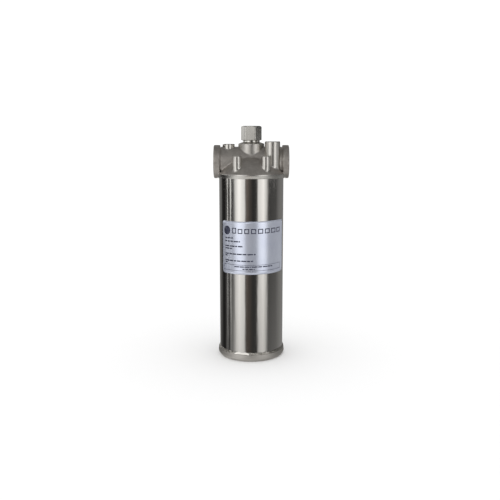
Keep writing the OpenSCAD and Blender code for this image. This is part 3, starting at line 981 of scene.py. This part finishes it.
# %% Pleated medium
PEAK_R = CAP_R - 1.2
VALLEY_R = CORE_R + 0.3
SHEET = 0.55
PLEATS = 40
fold_steps = 16
middle = []
for i in range(PLEATS * fold_steps):
    share = (i % fold_steps) / fold_steps
    wave = math.asin(0.985 * math.cos(2 * math.pi * share)) / math.asin(0.985)
    radius = (PEAK_R + VALLEY_R) / 2 + wave * ((PEAK_R - VALLEY_R) / 2 - SHEET / 2)
    angle = 2 * math.pi * i / (PLEATS * fold_steps)
    middle.append((radius * math.cos(angle), radius * math.sin(angle)))
middle = np.array(middle)
along = np.roll(middle, -1, 0) - np.roll(middle, 1, 0)
side = np.stack([along[:, 1], -along[:, 0]], 1) / np.linalg.norm(along, axis=1)[:, None]
outer, inner = middle + side * SHEET / 2, middle - side * SHEET / 2
count = len(middle)
heights = np.linspace(MEDIA_LOW[2], MEDIA_HIGH[2], 9)
media_points, media_faces = [], []
for skin in (outer, inner):
    for z in heights:
        media_points += [(x, y, z) for x, y in skin]
rows = len(heights)
for s in range(2):
    for j in range(rows - 1):
        for i in range(count):
            n, low, high = (i + 1) % count, (s * rows + j) * count, (s * rows + j + 1) * count
            media_faces.append((low + i, low + n, high + n, high + i))
for j in (0, rows - 1):
    for i in range(count):
        n, a, b = (i + 1) % count, j * count, (rows + j) * count
        media_faces.append((a + i, a + n, b + n, b + i))
finish_piece(
    "cartridge_media_pleated", media_points, media_faces, FLEECE, "cartridge", "pleated_paper",
    ["cartridge_media"],
)

# %% [markdown]
# ## The head
# The head is one casting: a turned rim, a domed crown, a barrel that carries both ports, and
# bosses for the cap nut, the vent, the gauge port and four mounting screws. Fillets join them
# all, since molten steel and the wax pattern need them.


# %% Head sizes
# Rim and crown
RIM_R = HEAD_HIGH[1]
RIM_Z = GASKET_Z0 - 2.0
RIM_TOP = RIM_Z + 5.4
RIM_TAPER = 1.8
CROWN_R = 56.5
CROWN_Z = RIM_TOP - math.sqrt(CROWN_R**2 - RIM_R**2)
CROWN_WALL = 5.0
CAVITY_R = 40.0
# Barrel and ports
PORT_END = HEAD_HIGH[0]
COLLAR_R = 22.7
COLLAR_IN = PORT_END - 9.0
BARREL_R = 20.3
AXIS_Z = HEAD_LOW[2] + COLLAR_R
PORT_R = 15.15
THREAD_IN = PORT_END - 14.3
# Water ways
HUB_R = 18.0
CHAMBER_R = 13.0
INLET_R = 12.0
OUTLET_R = 9.0
OUTLET_Z = AXIS_Z + 3.9
# Centre boss: its radius, its radius on top, the fall between them, and the seat for its seal
BOSS_R, BOSS_FLAT_R, BOSS_FALL = 17.8, 12.4, 1.9
SEAL_SEAT_R, SEAL_SEAT = 11.2, 1.5
# Vent and gauge bosses. The gauge boss runs out further towards the front.
VENT_AT, VENT_R, VENT_TOP = (28.5, -17.0), 10.3, HEAD_HIGH[2]
GAUGE_AT, GAUGE_R, GAUGE_TOP = (-31.0, 0.0), 8.3, RIM_Z + 45.2
GAUGE_OVAL = 1.4
# Mounting bosses, mirrored to all four quarters
MOUNT_AT, MOUNT_R, MOUNT_TOP = (19.2, 33.0), 6.2, RIM_Z + 29.8
MOUNT_HOLE_R, MOUNT_DEEP = 2.5, 12.0
print(f"port axis at {AXIS_Z:.2f}, rim at {RIM_Z:.2f}, crown's centre at {CROWN_Z:.2f} mm")

# %% [markdown]
# The distance field follows the pattern-maker's order: first the solid forms, each joined with
# its own fillet, then the hollow ones, and the last line takes the hollow out of the solid.
# Inside are the inlet chamber, the hub that the cartridge seals on, the outlet pipe, and the
# bores for rod, plugs, ports and screws.


# %% Head as a distance field
def boss_distance(x, y, at, oval):
    """Distance from a boss's axis. An oval one is drawn out towards the front."""
    return np.hypot(x - at[0], (y - at[1]) / np.where(y < at[1], oval, 1.0))


def mount_distance(x, y):
    """Distance from the nearest mounting boss's axis."""
    return np.hypot(np.abs(x) - MOUNT_AT[0], np.abs(y) - MOUNT_AT[1])


def head_field(x, y, z):
    """The head casting: outer forms joined with fillets, less its bores and water ways."""
    r = np.hypot(x, y)
    rho = np.hypot(y, z - AXIS_Z)
    ax = np.abs(x)
    slant = r - RIM_R + np.maximum(RIM_TOP - 1 - z, 0) * RIM_TAPER / 4.4
    band = soft_max(soft_max(slant, RIM_Z - z, 0.5), z - RIM_TOP, 0.4)
    crown = np.maximum(np.sqrt(x**2 + y**2 + (z - CROWN_Z) ** 2) - CROWN_R, RIM_TOP - 1 - z)
    crown = np.maximum(crown, r - RIM_R)
    solid = np.minimum(band, crown)
    barrel = np.maximum(rho - BARREL_R, ax - COLLAR_IN - 1)
    solid = soft_min(solid, barrel, 1.6)
    run = BOSS_R - BOSS_FLAT_R
    cone = (r - BOSS_FLAT_R) * BOSS_FALL + (z - BOSS_TOP) * run
    cone = cone / math.hypot(BOSS_FALL, run)
    boss = soft_max(soft_max(r - BOSS_R, cone, 0.5), z - BOSS_TOP, 0.3)
    boss = np.maximum(boss, AXIS_Z - z)
    solid = soft_min(solid, boss, 1.0)
    for at, radius, top, blend, oval in (
        (VENT_AT, VENT_R, VENT_TOP, 1.6, 1.0),
        (GAUGE_AT, GAUGE_R, GAUGE_TOP, 0.9, GAUGE_OVAL),
    ):
        d = boss_distance(x, y, at, oval)
        post = np.maximum(disc_field(radius, z, d, RIM_TOP, top, 0.6), RIM_TOP - z)
        solid = soft_min(solid, post, blend)
    d = mount_distance(x, y)
    post = np.maximum(disc_field(MOUNT_R, z, d, RIM_TOP, MOUNT_TOP, 0.5), RIM_TOP - z)
    solid = soft_min(solid, post, 1.3)
    collar = disc_field(COLLAR_R, ax, rho, COLLAR_IN, PORT_END, 1.5)
    solid = np.minimum(solid, collar)
    groove = np.hypot(rho - BARREL_R - 0.5, ax - COLLAR_IN + 0.5) - 1.15
    solid = soft_max(solid, -groove, 0.2)
    # Bores and water ways
    hollow = soft_max(r - (BOWL_R + 0.1), z - GROOVE_TOP, 0.3)
    cavity = np.sqrt(x**2 + y**2 + (z - CROWN_Z) ** 2) - (CROWN_R - CROWN_WALL)
    cavity = soft_max(soft_max(cavity, r - CAVITY_R, 2.5), GROOVE_TOP - 1 - z, 0.3)
    hub = np.maximum(r - HUB_R, HUB_Z - z)
    pipe = np.maximum(np.hypot(y, z - OUTLET_Z) - (OUTLET_R + 3), -x)
    walls = np.maximum(rho - (PORT_R + 3), THREAD_IN - 4 - x)
    walls = np.minimum(walls, np.maximum(rho - (PORT_R + 3), THREAD_IN - 0.5 + x))
    inner_forms = soft_min(soft_min(hub, pipe, 2.0), walls, 2.0)
    cavity = soft_max(cavity, -inner_forms, 2.0)
    hollow = np.minimum(hollow, cavity)
    chamber = np.maximum(np.maximum(r - CHAMBER_R, HUB_Z - 1 - z), z - (OUTLET_Z + OUTLET_R + 2))
    rod_bore = np.maximum(r - (ROD_R + 0.6), HUB_Z - 1 - z)
    seal_seat = np.maximum(r - SEAL_SEAT_R, BOSS_TOP - SEAL_SEAT - z)
    inlet = np.maximum(np.maximum(rho - INLET_R, x + HUB_R + 1), -x - (THREAD_IN + 1))
    outlet = np.maximum(np.maximum(np.hypot(y, z - OUTLET_Z) - OUTLET_R, -x), x - (THREAD_IN + 1))
    port = np.maximum(rho - (PORT_R + 1.35), THREAD_IN - ax)
    mouth = rho - (PORT_R + 1.6) + (PORT_END - ax) * 0.9
    hollow = np.minimum(hollow, soft_min(chamber, rod_bore, 0.3))
    hollow = np.minimum(np.minimum(hollow, seal_seat), np.minimum(inlet, outlet))
    hollow = np.minimum(hollow, np.minimum(port, np.maximum(mouth, PORT_END - 2 - ax)))
    for at, top, size, drill_z, drill_r in (
        (VENT_AT, VENT_TOP, VENT_PLUG, RIM_TOP + 4, 3.0),
        (GAUGE_AT, GAUGE_TOP, SMALL_PLUG, AXIS_Z, 2.5),
    ):
        d = np.hypot(x - at[0], y - at[1])
        sink = top - size[2] - SEAL_T
        plug = np.maximum(d - (size[1] + 0.3), sink - z)
        plug = np.minimum(plug, np.maximum(d - (size[0] + 0.3), sink - size[3] - 1 - z))
        hollow = np.minimum(hollow, np.minimum(plug, np.maximum(d - drill_r, drill_z - z)))
    d = mount_distance(x, y)
    screw = np.maximum(np.maximum(d - MOUNT_HOLE_R, MOUNT_TOP - MOUNT_DEEP - z), z - MOUNT_TOP - 1)
    sink = np.maximum(d - MOUNT_HOLE_R - 0.5 + (MOUNT_TOP - z), z - MOUNT_TOP - 0.4)
    hollow = np.minimum(hollow, np.minimum(screw, np.maximum(sink, MOUNT_TOP - 1 - z)))
    return soft_max(solid, -hollow, 0.45)


# %% [markdown]
# After casting, the rim, the port mouths, the bosses and the hub were machined. "machined" is a
# value at each point of the mesh that marks those skins for the material. The head can then be
# meshed, in cubes small enough for its fillets.


# %% Machined skins and the head
def ramp(value, low, high):
    """0 below low and 1 above high, straight between."""
    return np.clip((value - low) / (high - low), 0, 1)


# Heights above which the tools have cut the bosses
BOSS_CUT, POST_CUT, MOUNT_CUT = 281.0, 262.0, 260.0


def machined_skin(x, y, z):
    """1 where a tool has cut the casting smooth, 0 where the cast skin is left."""
    r, rho, ax = np.hypot(x, y), np.hypot(y, z - AXIS_Z), np.abs(x)
    rim = (1 - ramp(z, RIM_TOP - 0.1, RIM_TOP + 0.5)) * (1 - ramp(r, RIM_R + 0.2, RIM_R + 0.7))
    face = ramp(ax, PORT_END - 0.45, PORT_END - 0.1)
    bore = ramp(ax, 30, 31) * (1 - ramp(rho, PORT_R + 1.85, PORT_R + 2.45))
    boss = (1 - ramp(r, BOSS_R + 0.1, BOSS_R + 0.9)) * ramp(z, BOSS_CUT, BOSS_CUT + 1)
    hub = (1 - ramp(np.abs(z - HUB_Z), 0.3, 0.9)) * (1 - ramp(r, HUB_R, HUB_R + 0.5))
    skin = np.maximum(np.maximum(0.75 * rim, 0.7 * np.maximum(face, bore)), 0.48 * boss)
    skin = np.maximum(skin, 0.7 * hub)
    for d, radius, polish, cut in (
        (boss_distance(x, y, VENT_AT, 1.0), VENT_R, 0.68, POST_CUT),
        (boss_distance(x, y, GAUGE_AT, GAUGE_OVAL), GAUGE_R, 0.8, POST_CUT),
        (mount_distance(x, y), MOUNT_R, 0.7, MOUNT_CUT),
    ):
        side = 1 - ramp(d, radius + 0.1, radius + 0.9)
        skin = np.maximum(skin, polish * side * ramp(z, cut, cut + 1))
    return skin


head = carve(
    "head_cast", head_field, HEAD_LOW, HEAD_HIGH, 0.72, CAST_STEEL,
    "head", "cast_steel", ["head_casting"], ("machined", machined_skin),
)

# %% [markdown]
# ## Port threads and the head gasket
# Each port has an internal G1 pipe thread, eleven turns to the inch. It is turned as a separate
# sleeve that fills the wall of the bore, which keeps its flanks crisp.


# %% Threads and gasket
def port_thread(name, side):
    """The threaded wall of one port, turned about Z and then laid along X."""
    low, high = THREAD_IN + 0.05, PORT_END - 1.45
    crest, root = PORT_R, PORT_R + 1.4
    outline = [(root, low), (root, high), (crest + 0.7, high), (crest, high - 0.6)]
    outline += [(crest, z) for z in np.linspace(high - 0.8, low + 0.8, 60)]
    outline += [(crest, low)]
    cut = threaded(crest, low, high, 2.309, -1.2)
    points, faces = spin(outline, 160, True, cut)
    points = [(side * z, y, AXIS_Z + x) for x, y, z in points]
    return finish_piece(name, points, faces, TURNED_STEEL, "head", "cast_steel")


port_thread("inlet_thread_cut", -1)
port_thread("outlet_thread_cut", 1)
turn(
    "bowl_gasket_cut",
    band(BOWL_IN - 1.2, BOWL_R, GASKET_Z0, GROOVE_TOP, 0.3),
    SEAL_RUBBER, "head", "gasket_rubber", ["bowl_gasket"], steps=192,
)

# %% [markdown]
# ## The cap nut
# A long hexagon that clears the end of the rod, with a round neck below. Both rims of the
# hexagon are chamfered on the lathe, which leaves the curved edges that every nut shows.

# %% Cap nut and its seal
NECK_R = 11.6
HEX_Z = BOSS_TOP + 2.6
NUT_TOP = HEX_HIGH[2]
NUT_TURN = math.radians(52)
BEVEL = math.tan(math.radians(30))


def nut_field(x, y, z):
    """The hexagon with its two cones, the neck, and the blind hole."""
    r = np.hypot(x, y)
    flats = np.full_like(r, -1e3)
    for k in range(3):
        a = NUT_TURN + math.radians(30 + 60 * k)
        flats = soft_max(flats, np.abs(x * math.cos(a) + y * math.sin(a)) - HALF_FLAT, 0.8)
    upper = ((r - HALF_FLAT + 0.6) * BEVEL + z - NUT_TOP) / math.hypot(BEVEL, 1)
    lower = ((r - HALF_FLAT - 0.7) * BEVEL + HEX_Z - z) / math.hypot(BEVEL, 1)
    body = soft_max(soft_max(flats, upper, 0.3), lower, 0.3)
    body = soft_max(body, np.maximum(z - NUT_TOP, HEX_Z - z), 0.3)
    body = soft_min(body, disc_field(NECK_R, z, r, BOSS_TOP, HEX_Z + 1, 0.35), 0.5)
    hole = np.maximum(r - (ROD_R + RUN_FIT), z - (ROD_TOP + 1.5))
    return soft_max(body, -hole, 0.4)


def turned_neck(x, y, z):
    """1 on the round neck, 0 on the hexagon."""
    return 1 - ramp(z, HEX_Z - 0.2, HEX_Z + 0.1)


carve(
    "cap_nut_milled", nut_field, HEX_LOW, HEX_HIGH, 0.3, NUT_STEEL,
    "cap_nut", "turned_steel", ["cap_nut"], ("turned", turned_neck),
)
turn(
    "cap_nut_seal_moulded",
    band(ROD_R + 0.7, 11.0, BOSS_TOP - SEAL_SEAT, BOSS_TOP, 0.4),
    SEAL_RUBBER, "nut_seal", "gasket_rubber", ["cap_nut_seal"],
)

# %% [markdown]
# ## Vent, gauge and drain plugs
# Three hexagon-socket plugs close the tappings. Each has a flat head over a bonded seal, a
# short threaded shank and a socket for a key.


# %% Socket plugs
def socket_plug(name, size, at, under_head, way, body, node, pitch):
    """A plug whose head's underside lies at under_head. way is 1 for a head that points up."""
    shank, head_r, head_t, length, key = size

    def plug_field(x, y, z):
        x, y, z = x - at[0], y - at[1], (z - under_head) * way
        r = np.hypot(x, y)
        turns = z / pitch - way * np.arctan2(y, x) / (2 * math.pi)
        cut = 0.42 * thread_wave(turns) * ramp(-z, 0.3, 0.9)
        stem = soft_max(r - shank + cut, np.maximum(z - 0.5, -length - z), 0.3)
        stem = soft_max(stem, (r - shank + 0.8 - (z + length)) / math.sqrt(2), 0.2)
        solid = np.minimum(stem, disc_field(head_r, z, r, 0.0, head_t, 0.35))
        socket = np.full_like(r, -1e3)
        for k in range(3):
            a = math.radians(30 + 60 * k)
            socket = np.maximum(socket, np.abs(x * math.cos(a) + y * math.sin(a)) - key / 2)
        socket = np.maximum(socket, head_t - 4 - z)
        lead = r - (key / 2 / math.cos(math.radians(30))) - 0.25 + (head_t - z)
        return soft_max(solid, -np.minimum(socket, np.maximum(lead, head_t - 0.8 - z)), 0.25)

    low, high = box_mm(node)
    cell = 0.22
    carve(name, plug_field, low, high, cell, TURNED_STEEL, body, "turned_steel", [node])


def plug_seal(name, size, at, under_head, way, body, node):
    """The flat seal under a plug's head."""
    low, high = sorted((under_head, under_head - way * SEAL_T))
    turn(
        name,
        band(size[0] + 0.1, size[1], low, high, 0.3),
        SEAL_RUBBER, body, "gasket_rubber", [node], centre=at, steps=96,
    )


for stem, size, at, under_head, way, pitch in (
    ("vent_plug", VENT_PLUG, VENT_AT, VENT_TOP - VENT_PLUG[2], 1, 1.337),
    ("gauge_plug", SMALL_PLUG, GAUGE_AT, GAUGE_TOP - SMALL_PLUG[2], 1, 0.907),
    ("drain_plug", SMALL_PLUG, DRAIN_AT, RECESS_Z + SMALL_PLUG[2], -1, 0.907),
):
    seal_body = stem.replace("plug", "seal")
    socket_plug(f"{stem}_turned", size, at, under_head, way, stem, stem, pitch)
    plug_seal(f"{stem}_seal_moulded", size, at, under_head, way, seal_body, f"{stem}_seal")

# %% [markdown]
# ## The nameplate
# A foil plate is wrapped round the front of the bowl. It is built as columns round the tube:
# each column runs from the plate's lower edge to its upper one, and near the ends the columns
# get shorter, which makes the round corners. The print is a generic layout, since a
# reusable part carries nobody's name: a disc, a row of hollow boxes for the title, rows of
# dashes and a framed strip.

# %% Nameplate foil
PLATE_LOW, PLATE_HIGH = box_mm("nameplate")
FOIL_T = 0.2
PLATE_Z0, PLATE_Z1 = PLATE_LOW[2], PLATE_HIGH[2]
LEFT, RIGHT, CORNER = -60.0, 70.0, 4.0
SKIN_R = BOWL_R + 0.02


def on_bowl(s, z, lift):
    """A point on the bowl: s millimetres round from the front, z up, lifted off the steel."""
    a = s / BOWL_R
    reach = SKIN_R + lift
    return (reach * math.sin(a), -reach * math.cos(a), z)


def plate_limits(s):
    """Lower and upper edge of the plate at a place round the bowl."""
    s0, s1 = math.radians(LEFT) * BOWL_R, math.radians(RIGHT) * BOWL_R
    inset = max(0.0, CORNER - min(s - s0, s1 - s))
    drop = CORNER - math.sqrt(max(0.0, CORNER**2 - inset**2))
    return PLATE_Z0 + drop, PLATE_Z1 - drop


def wrapped_patch(columns, limits, thick, base, rows=2):
    """A thin closed patch on the bowl. limits(s) gives its lower and upper edge in each column."""
    points, faces = [], []
    n, m = len(columns), rows + 1
    for lift, inset in ((base + thick, 0.0), (base, 0.0)):
        for s in columns:
            low, high = limits(s)
            points += [on_bowl(s, z, lift) for z in np.linspace(low, high, m)]
    for layer in range(2):
        for i in range(n - 1):
            for j in range(m - 1):
                a = layer * n * m + i * m + j
                faces.append((a, a + m, a + m + 1, a + 1))
    rim = [i * m for i in range(n)] + [(n - 1) * m + j for j in range(1, m)]
    rim += [i * m + m - 1 for i in range(n - 2, -1, -1)] + [j for j in range(m - 2, 0, -1)]
    for a, b in zip(rim, rim[1:] + rim[:1]):
        faces.append((a, b, n * m + b, n * m + a))
    return points, faces


s_left, s_right = math.radians(LEFT) * BOWL_R, math.radians(RIGHT) * BOWL_R
ease = CORNER * (1 - np.cos(np.linspace(0, math.pi / 2, 10)))
straight = np.linspace(s_left + CORNER, s_right - CORNER, 110)
columns = sorted({round(float(s), 4) for s in (*(s_left + ease), *straight, *(s_right - ease))})
foil_points, foil_faces = wrapped_patch(columns, plate_limits, FOIL_T, 0.0, rows=24)
foil = finish_piece(
    "nameplate_foil", foil_points, foil_faces, FOIL, "bowl", "foil", ["nameplate"]
)

# %% [markdown]
# Each printed mark is a small patch of the same kind, as thin as thick ink. Rows of words are
# broken into dashes of uneven length, so that the plate reads as a printed label from a distance
# and as plain bars close up.

# %% Nameplate print
INK_T = 0.025
print_points, print_faces = [], []


def add_patch(columns, limits):
    """Adds one printed patch to the print."""
    points, faces = wrapped_patch(columns, limits, INK_T, FOIL_T, rows=1)
    first = len(print_points)
    print_points.extend(points)
    print_faces.extend([tuple(first + i for i in f) for f in faces])


def bar(s0, s1, z0, z1):
    """A printed bar."""
    count = max(2, int((s1 - s0) / 1.5) + 1)
    add_patch(np.linspace(s0, s1, count), lambda s: (z0, z1))


def words(s0, s1, z, height, seed, letter=1.0):
    """A row of dashes that stands for words."""
    dice = np.random.default_rng(seed)
    s = s0
    while s < s1 - 0.5:
        length = letter * height * dice.uniform(1.4, 5.2)
        end = min(s + length, s1)
        bar(s, end, z - height / 2, z + height / 2)
        s = end + height * dice.uniform(0.45, 0.8)


TITLE_Z = PLATE_Z1 - 12.6
DISC_S, DISC_R = -36.6, 6.0


def round_patch(s_mid, z_mid, radius, count=28):
    """A printed disc."""
    sides = s_mid + radius * np.sin(np.linspace(-math.pi / 2, math.pi / 2, count))

    def limits(s):
        half = math.sqrt(max(0.0, radius**2 - (s - s_mid) ** 2)) + 1e-3
        return z_mid - half, z_mid + half

    add_patch(sides, limits)


round_patch(DISC_S, TITLE_Z, DISC_R)
start = -27.4
for i in range(8):
    wide = 6.4 + 0.2 * i
    low, high, stroke = TITLE_Z - 3.9, TITLE_Z + (3.9 if i == 0 else 2.7), 1.25
    for z in (low, high - stroke):
        bar(start, start + wide, z, z + stroke)
    for s in (start, start + wide - stroke):
        bar(s, s + stroke, low, high)
    start += wide + 2.4
# Each row of words: how far below the plate's upper edge it lies, and where it ends
ROWS = (
    (22.8, -26.2), (27.3, -15.4), (33.8, -10.8), (37.1, -27.8), (44.4, 5.8), (46.9, -35.9),
    (53.6, 2.6), (56.1, -35.5),
)
for row, (drop, end) in enumerate(ROWS):
    words(-40.3, end, PLATE_Z1 - drop, 1.7, 11 + row)
STRIP = (-43.2, 46.8, PLATE_Z0 + 5.2, PLATE_Z0 + 12.9)
for z in STRIP[2:]:
    bar(STRIP[0], STRIP[1], z - 0.25, z + 0.25)
for s in STRIP[:2]:
    bar(s - 0.3, s + 0.3, STRIP[2], STRIP[3])
words(-24.0, 30.5, PLATE_Z0 + 10.5, 1.5, 31)
words(-12.0, 4.5, PLATE_Z0 + 7.4, 1.4, 32)
ink = finish_piece("nameplate_print", print_points, print_faces, INK, "bowl", "foil")

# %% [markdown]
# A plate stuck on by hand is never quite level, so plate and print lean by under one degree.

# %% Lean of the nameplate
LEAN = 0.013
for piece in (foil, ink):
    for point in piece.data.vertices:
        around = math.atan2(point.co.x, -point.co.y) * BOWL_R
        point.co.z += LEAN * around * MM

# %% [markdown]
# ## The stage
# Polished steel has hardly any look of its own: it shows the room. The world lights all that is
# dull, the floor takes the shadow, and neither shows in the steel. What does is built apart.

# %% Floor and world
scene = bpy.context.scene
world = bpy.data.worlds.new("white_studio")
scene.world = world
world.use_nodes = True
world.node_tree.nodes.clear()
sky = add_node(world.node_tree, "Background", Color=(1, 1, 1, 1), Strength=1.09)
add_node(world.node_tree, "OutputWorld", Surface=sky)
world.cycles_visibility.glossy = False

bpy.ops.mesh.primitive_plane_add(size=30)
floor = bpy.context.object
floor.name = "floor"
paper, _ = new_tree("white_paper_sweep")
surfaced(paper, Base_Color=(0.96, 0.96, 0.96, 1.0), Roughness=1.0, Specular_IOR_Level=0.0)
floor.data.materials.append(paper)
floor.visible_glossy = False

# %% [markdown]
# The steel sees one round wall of light, like the tent that a catalogue studio puts round a
# bottle: a broad soft light on each side, two thin bright strips far to the left, and darkness
# between them. Each point of the wall has its own brightness, from two profiles: one for its
# upper part and one for its foot. The camera doesn't see the wall, and it lights nothing dull.

# %% The wall's profiles
WALL_R = 1.25
TABLE_Z = -1.0
# (degrees from the front towards the right, brightness): in the upper part, and at the foot
WALL_HIGH = [
    (-180, 0.9), (-170, 0.9), (-165, 0.4), (-158, 0.25), (-150, 0.22), (-133, 0.22), (-128.5, 0.1),
    (-125, 0.035), (-117, 0.02), (-108, 0.01), (-102, 0.05), (-95.2, 0.1), (-94.2, 1.0),
    (-91.2, 1.0), (-90.2, 0.07), (-80.2, 0.06), (-79.2, 1.0), (-76.2, 1.0), (-75.2, 0.05),
    (-70.5, 0.05), (-65.2, 0.13), (-62.8, 0.28), (-61, 0.5), (-57.2, 0.92), (-50, 1.28),
    (-42, 1.5), (-29, 1.15), (-24, 1.05), (-21.5, 0.6), (-19.5, 0.2), (-13.8, 0.15), (-5.7, 0.08),
    (5.7, 0.032), (16, 0.05), (19.6, 0.14), (22, 0.5), (24, 0.95), (27, 1.1), (35, 1.25),
    (42, 1.4), (49, 1.16), (54, 0.9), (56.3, 0.75), (58, 0.38), (61.5, 0.11), (66, 0.06),
    (96, 0.085), (110, 0.19), (124, 0.24), (157, 0.22), (165, 0.4), (170, 0.9), (180, 0.9),
]
WALL_LOW = [
    (-180, 0.7), (-170, 0.7), (-165, 0.35), (-158, 0.25), (-150, 0.2), (-143, 0.06), (-124, 0.03),
    (-111, 0.015), (-104, 0.05), (-98, 0.16), (-93, 0.06), (-88, 0.04), (-84, 0.1), (-79, 0.18),
    (-74, 0.22), (-68, 0.3), (-64, 0.4), (-60, 0.56), (-52, 0.74), (-43, 0.9), (-29, 0.8),
    (-24, 0.7), (-21.5, 0.35), (-19.5, 0.1), (-13, 0.07), (5.7, 0.045), (16, 0.05), (20, 0.07),
    (23, 0.35), (25, 0.58), (35, 0.7), (42, 0.76), (50, 0.62), (55, 0.43), (58.5, 0.24),
    (63, 0.14), (68, 0.14), (104, 0.19), (121, 0.24), (137, 0.28), (157, 0.25), (165, 0.35),
    (170, 0.7), (180, 0.7),
]
# The white floor round the object, as the steel sees it
FLOOR_GLOW = [
    (-180, 0.3), (-120, 0.35), (-100, 1.1), (-62, 1.1), (-35, 0.75), (60, 0.75), (110, 0.35),
    (180, 0.3),
]


# %% [markdown]
# A light is a mesh whose points carry a value named "glow", which its material emits. So the
# brightness can vary over the wall without any picture, and only reflections see it.


# %% The wall of light
def diffuser(name):
    """A light's diffuser. Its colour is the mesh's own "glow" at each point, and may pass 1."""
    material, tree = new_tree(name)
    colour = add_node(tree, "Attribute", settings={"attribute_name": "glow"}).outputs["Color"]
    add_node(tree, "OutputMaterial", Surface=add_node(tree, "Emission", colour, 1.0))
    return material


def light_sheet(name, points, faces, glow):
    """A glowing sheet that only reflections see. glow is a brightness or colour for each point."""
    glow = np.array(glow, np.float32)
    if glow.ndim == 1:
        glow = np.repeat(glow[:, None], 3, 1)
    glow = np.concatenate([glow, np.ones((len(glow), 1), np.float32)], 1)
    mesh = bpy.data.meshes.new(name)
    mesh.from_pydata(points, [], faces)
    mesh.attributes.new("glow", "FLOAT_COLOR", "POINT").data.foreach_set("color", glow.ravel())
    light = bpy.data.objects.new(name, mesh)
    scene.collection.objects.link(light)
    mesh.materials.append(diffuser(name + "_diffuser"))
    light.visible_camera = False
    light.visible_diffuse = False
    light.visible_shadow = False
    return light


def wall_part(name, degrees, heights, strength, radius=WALL_R):
    """Part of the round wall. strength(degrees, height) gives its brightness."""
    points, glow = [], []
    for d in degrees:
        for z in heights:
            a = math.radians(d)
            points.append((radius * math.sin(a), -radius * math.cos(a), z))
            glow.append(strength(d, z))
    n, m = len(degrees), len(heights)
    faces = [
        (i * m + j, (i + 1) * m + j, (i + 1) * m + j + 1, i * m + j + 1)
        for i in range(n - 1)
        for j in range(m - 1)
    ]
    return light_sheet(name, points, faces, glow)


def wall_strength(degrees, height):
    """Blends the two profiles by height, and fades to the floor's glow at the wall's edge. The
    back dims upwards, and the dark middle is a little warm."""
    share = min(1.0, max(0.0, (height + 0.45) / 0.55))
    high = np.interp(degrees, *zip(*WALL_HIGH))
    low = np.interp(degrees, *zip(*WALL_LOW))
    power = low + (high - low) * share
    if abs(degrees) > 110:
        power *= float(np.interp(height, (0.35, 0.6), (1.0, 0.35)))
    near_floor = float(np.interp(height, (-0.95, -0.55), (1.0, 0.0)))
    power += (float(np.interp(degrees, *zip(*FLOOR_GLOW))) - power) * near_floor
    warm = float(np.interp(degrees, (-21, -16, -4, 6), (0, 1, 0.8, 0)))
    return power * (1 + 0.1 * warm), power * (1 - 0.06 * warm), power * (1 - 0.16 * warm)


WALL_HEIGHTS = (TABLE_Z, -0.85, -0.7, -0.55, -0.45, -0.3, -0.15, 0.0, 0.15, 0.35, 0.6, 1.1)
wall_part("studio_wall", np.arange(-180, 180.5, 0.5), WALL_HEIGHTS, wall_strength)
print("studio wall:", len(WALL_HEIGHTS), "levels, radius", WALL_R, "m")

# %% [markdown]
# A disc far below stands for the white floor, whose glow lights the underside of every lip, and
# a dim one overhead stands for the ceiling.


# %% Light table and ceiling
def flat_light(name, z, rings, round_it=((-180, 1.0), (180, 1.0))):
    """A level glowing disc. rings lists (radius, brightness) from the middle outwards, and
    round_it is a factor by degrees from the front towards the right."""
    points, glow, faces, n = [(0, 0, z)], [rings[0][1]], [], 64
    for radius, power in rings:
        ring = 2 * math.pi * np.arange(n) / n
        points += [(radius * math.cos(a), radius * math.sin(a), z) for a in ring]
        for k in range(n):
            degrees = (360.0 * k / n + 270.0) % 360.0 - 180.0
            glow.append(power * float(np.interp(degrees, *zip(*round_it))))
    for k in range(n):
        faces.append((0, 1 + k, 1 + (k + 1) % n))
        for i in range(len(rings) - 1):
            a, b = 1 + i * n, 1 + (i + 1) * n
            faces.append((a + k, b + k, b + (k + 1) % n, a + (k + 1) % n))
    light_sheet(name, points, faces, glow)


flat_light("light_table", TABLE_Z, [(0.3, 0.6), (0.7, 0.8), (1.25, 1.0), (1.4, 1.0)], FLOOR_GLOW)
flat_light("ceiling", 1.6, [(0.8, 0.24), (2.2, 0.3)])

# %% [markdown]
# Four small reflectors stand level with the head, above what the bowl can mirror. Two put the
# grey sheen on the flats of the cap nut, and two widen the highlights of the bosses. A black
# flag on the right keeps the nut's third flat dark, so that its edges read.

# %% Reflectors for the head
# Name, degrees round the wall, heights, brightness
for name, degrees, heights, power in (
    ("nut_card_front", np.arange(-34, -3, 2.0), (0.285, 0.4, 0.9), 0.95),
    ("nut_card_left", np.arange(-155, -112, 2.0), (0.25, 0.4, 0.9), 0.85),
    ("nut_flag_right", np.arange(56, 137, 4.0), (0.3, 0.5, 0.9), 0.02),
    ("boss_card_left", np.arange(-104, -59, 2.0), (0.2, 0.24, 0.3), 1.15),
    ("boss_card_right", np.arange(58, 101, 2.0), (0.2, 0.24, 0.3), 1.1),
):
    wall_part(name, degrees, heights, lambda d, z: power, WALL_R - 0.05)
    print(f"{name}: {power} at {degrees[0]:.0f} to {degrees[-1]:.0f} degrees")

# %% [markdown]
# ## Camera
# A standard lens about nine tenths of a metre in front, a little above the head and tipped
# down, with the frame shifted a little so that the housing stands where a catalogue puts it.

# %% Camera
CAMERA_BACK, CAMERA_UP = 0.9168, 0.3122
CAMERA_TIP = 0.1615
lens = bpy.data.cameras.new("camera")
lens.sensor_width = 36.0
lens.lens = 47.7
lens.shift_x = -0.0026
lens.shift_y = -0.02
lens.clip_start = 0.01
camera = bpy.data.objects.new("camera", lens)
scene.collection.objects.link(camera)
camera.location = (0.0, -CAMERA_BACK, CAMERA_UP)
camera.rotation_euler = (math.pi / 2 - CAMERA_TIP, 0, 0)
scene.camera = camera
scene.view_settings.view_transform = "Standard"
scene.view_settings.look = "None"
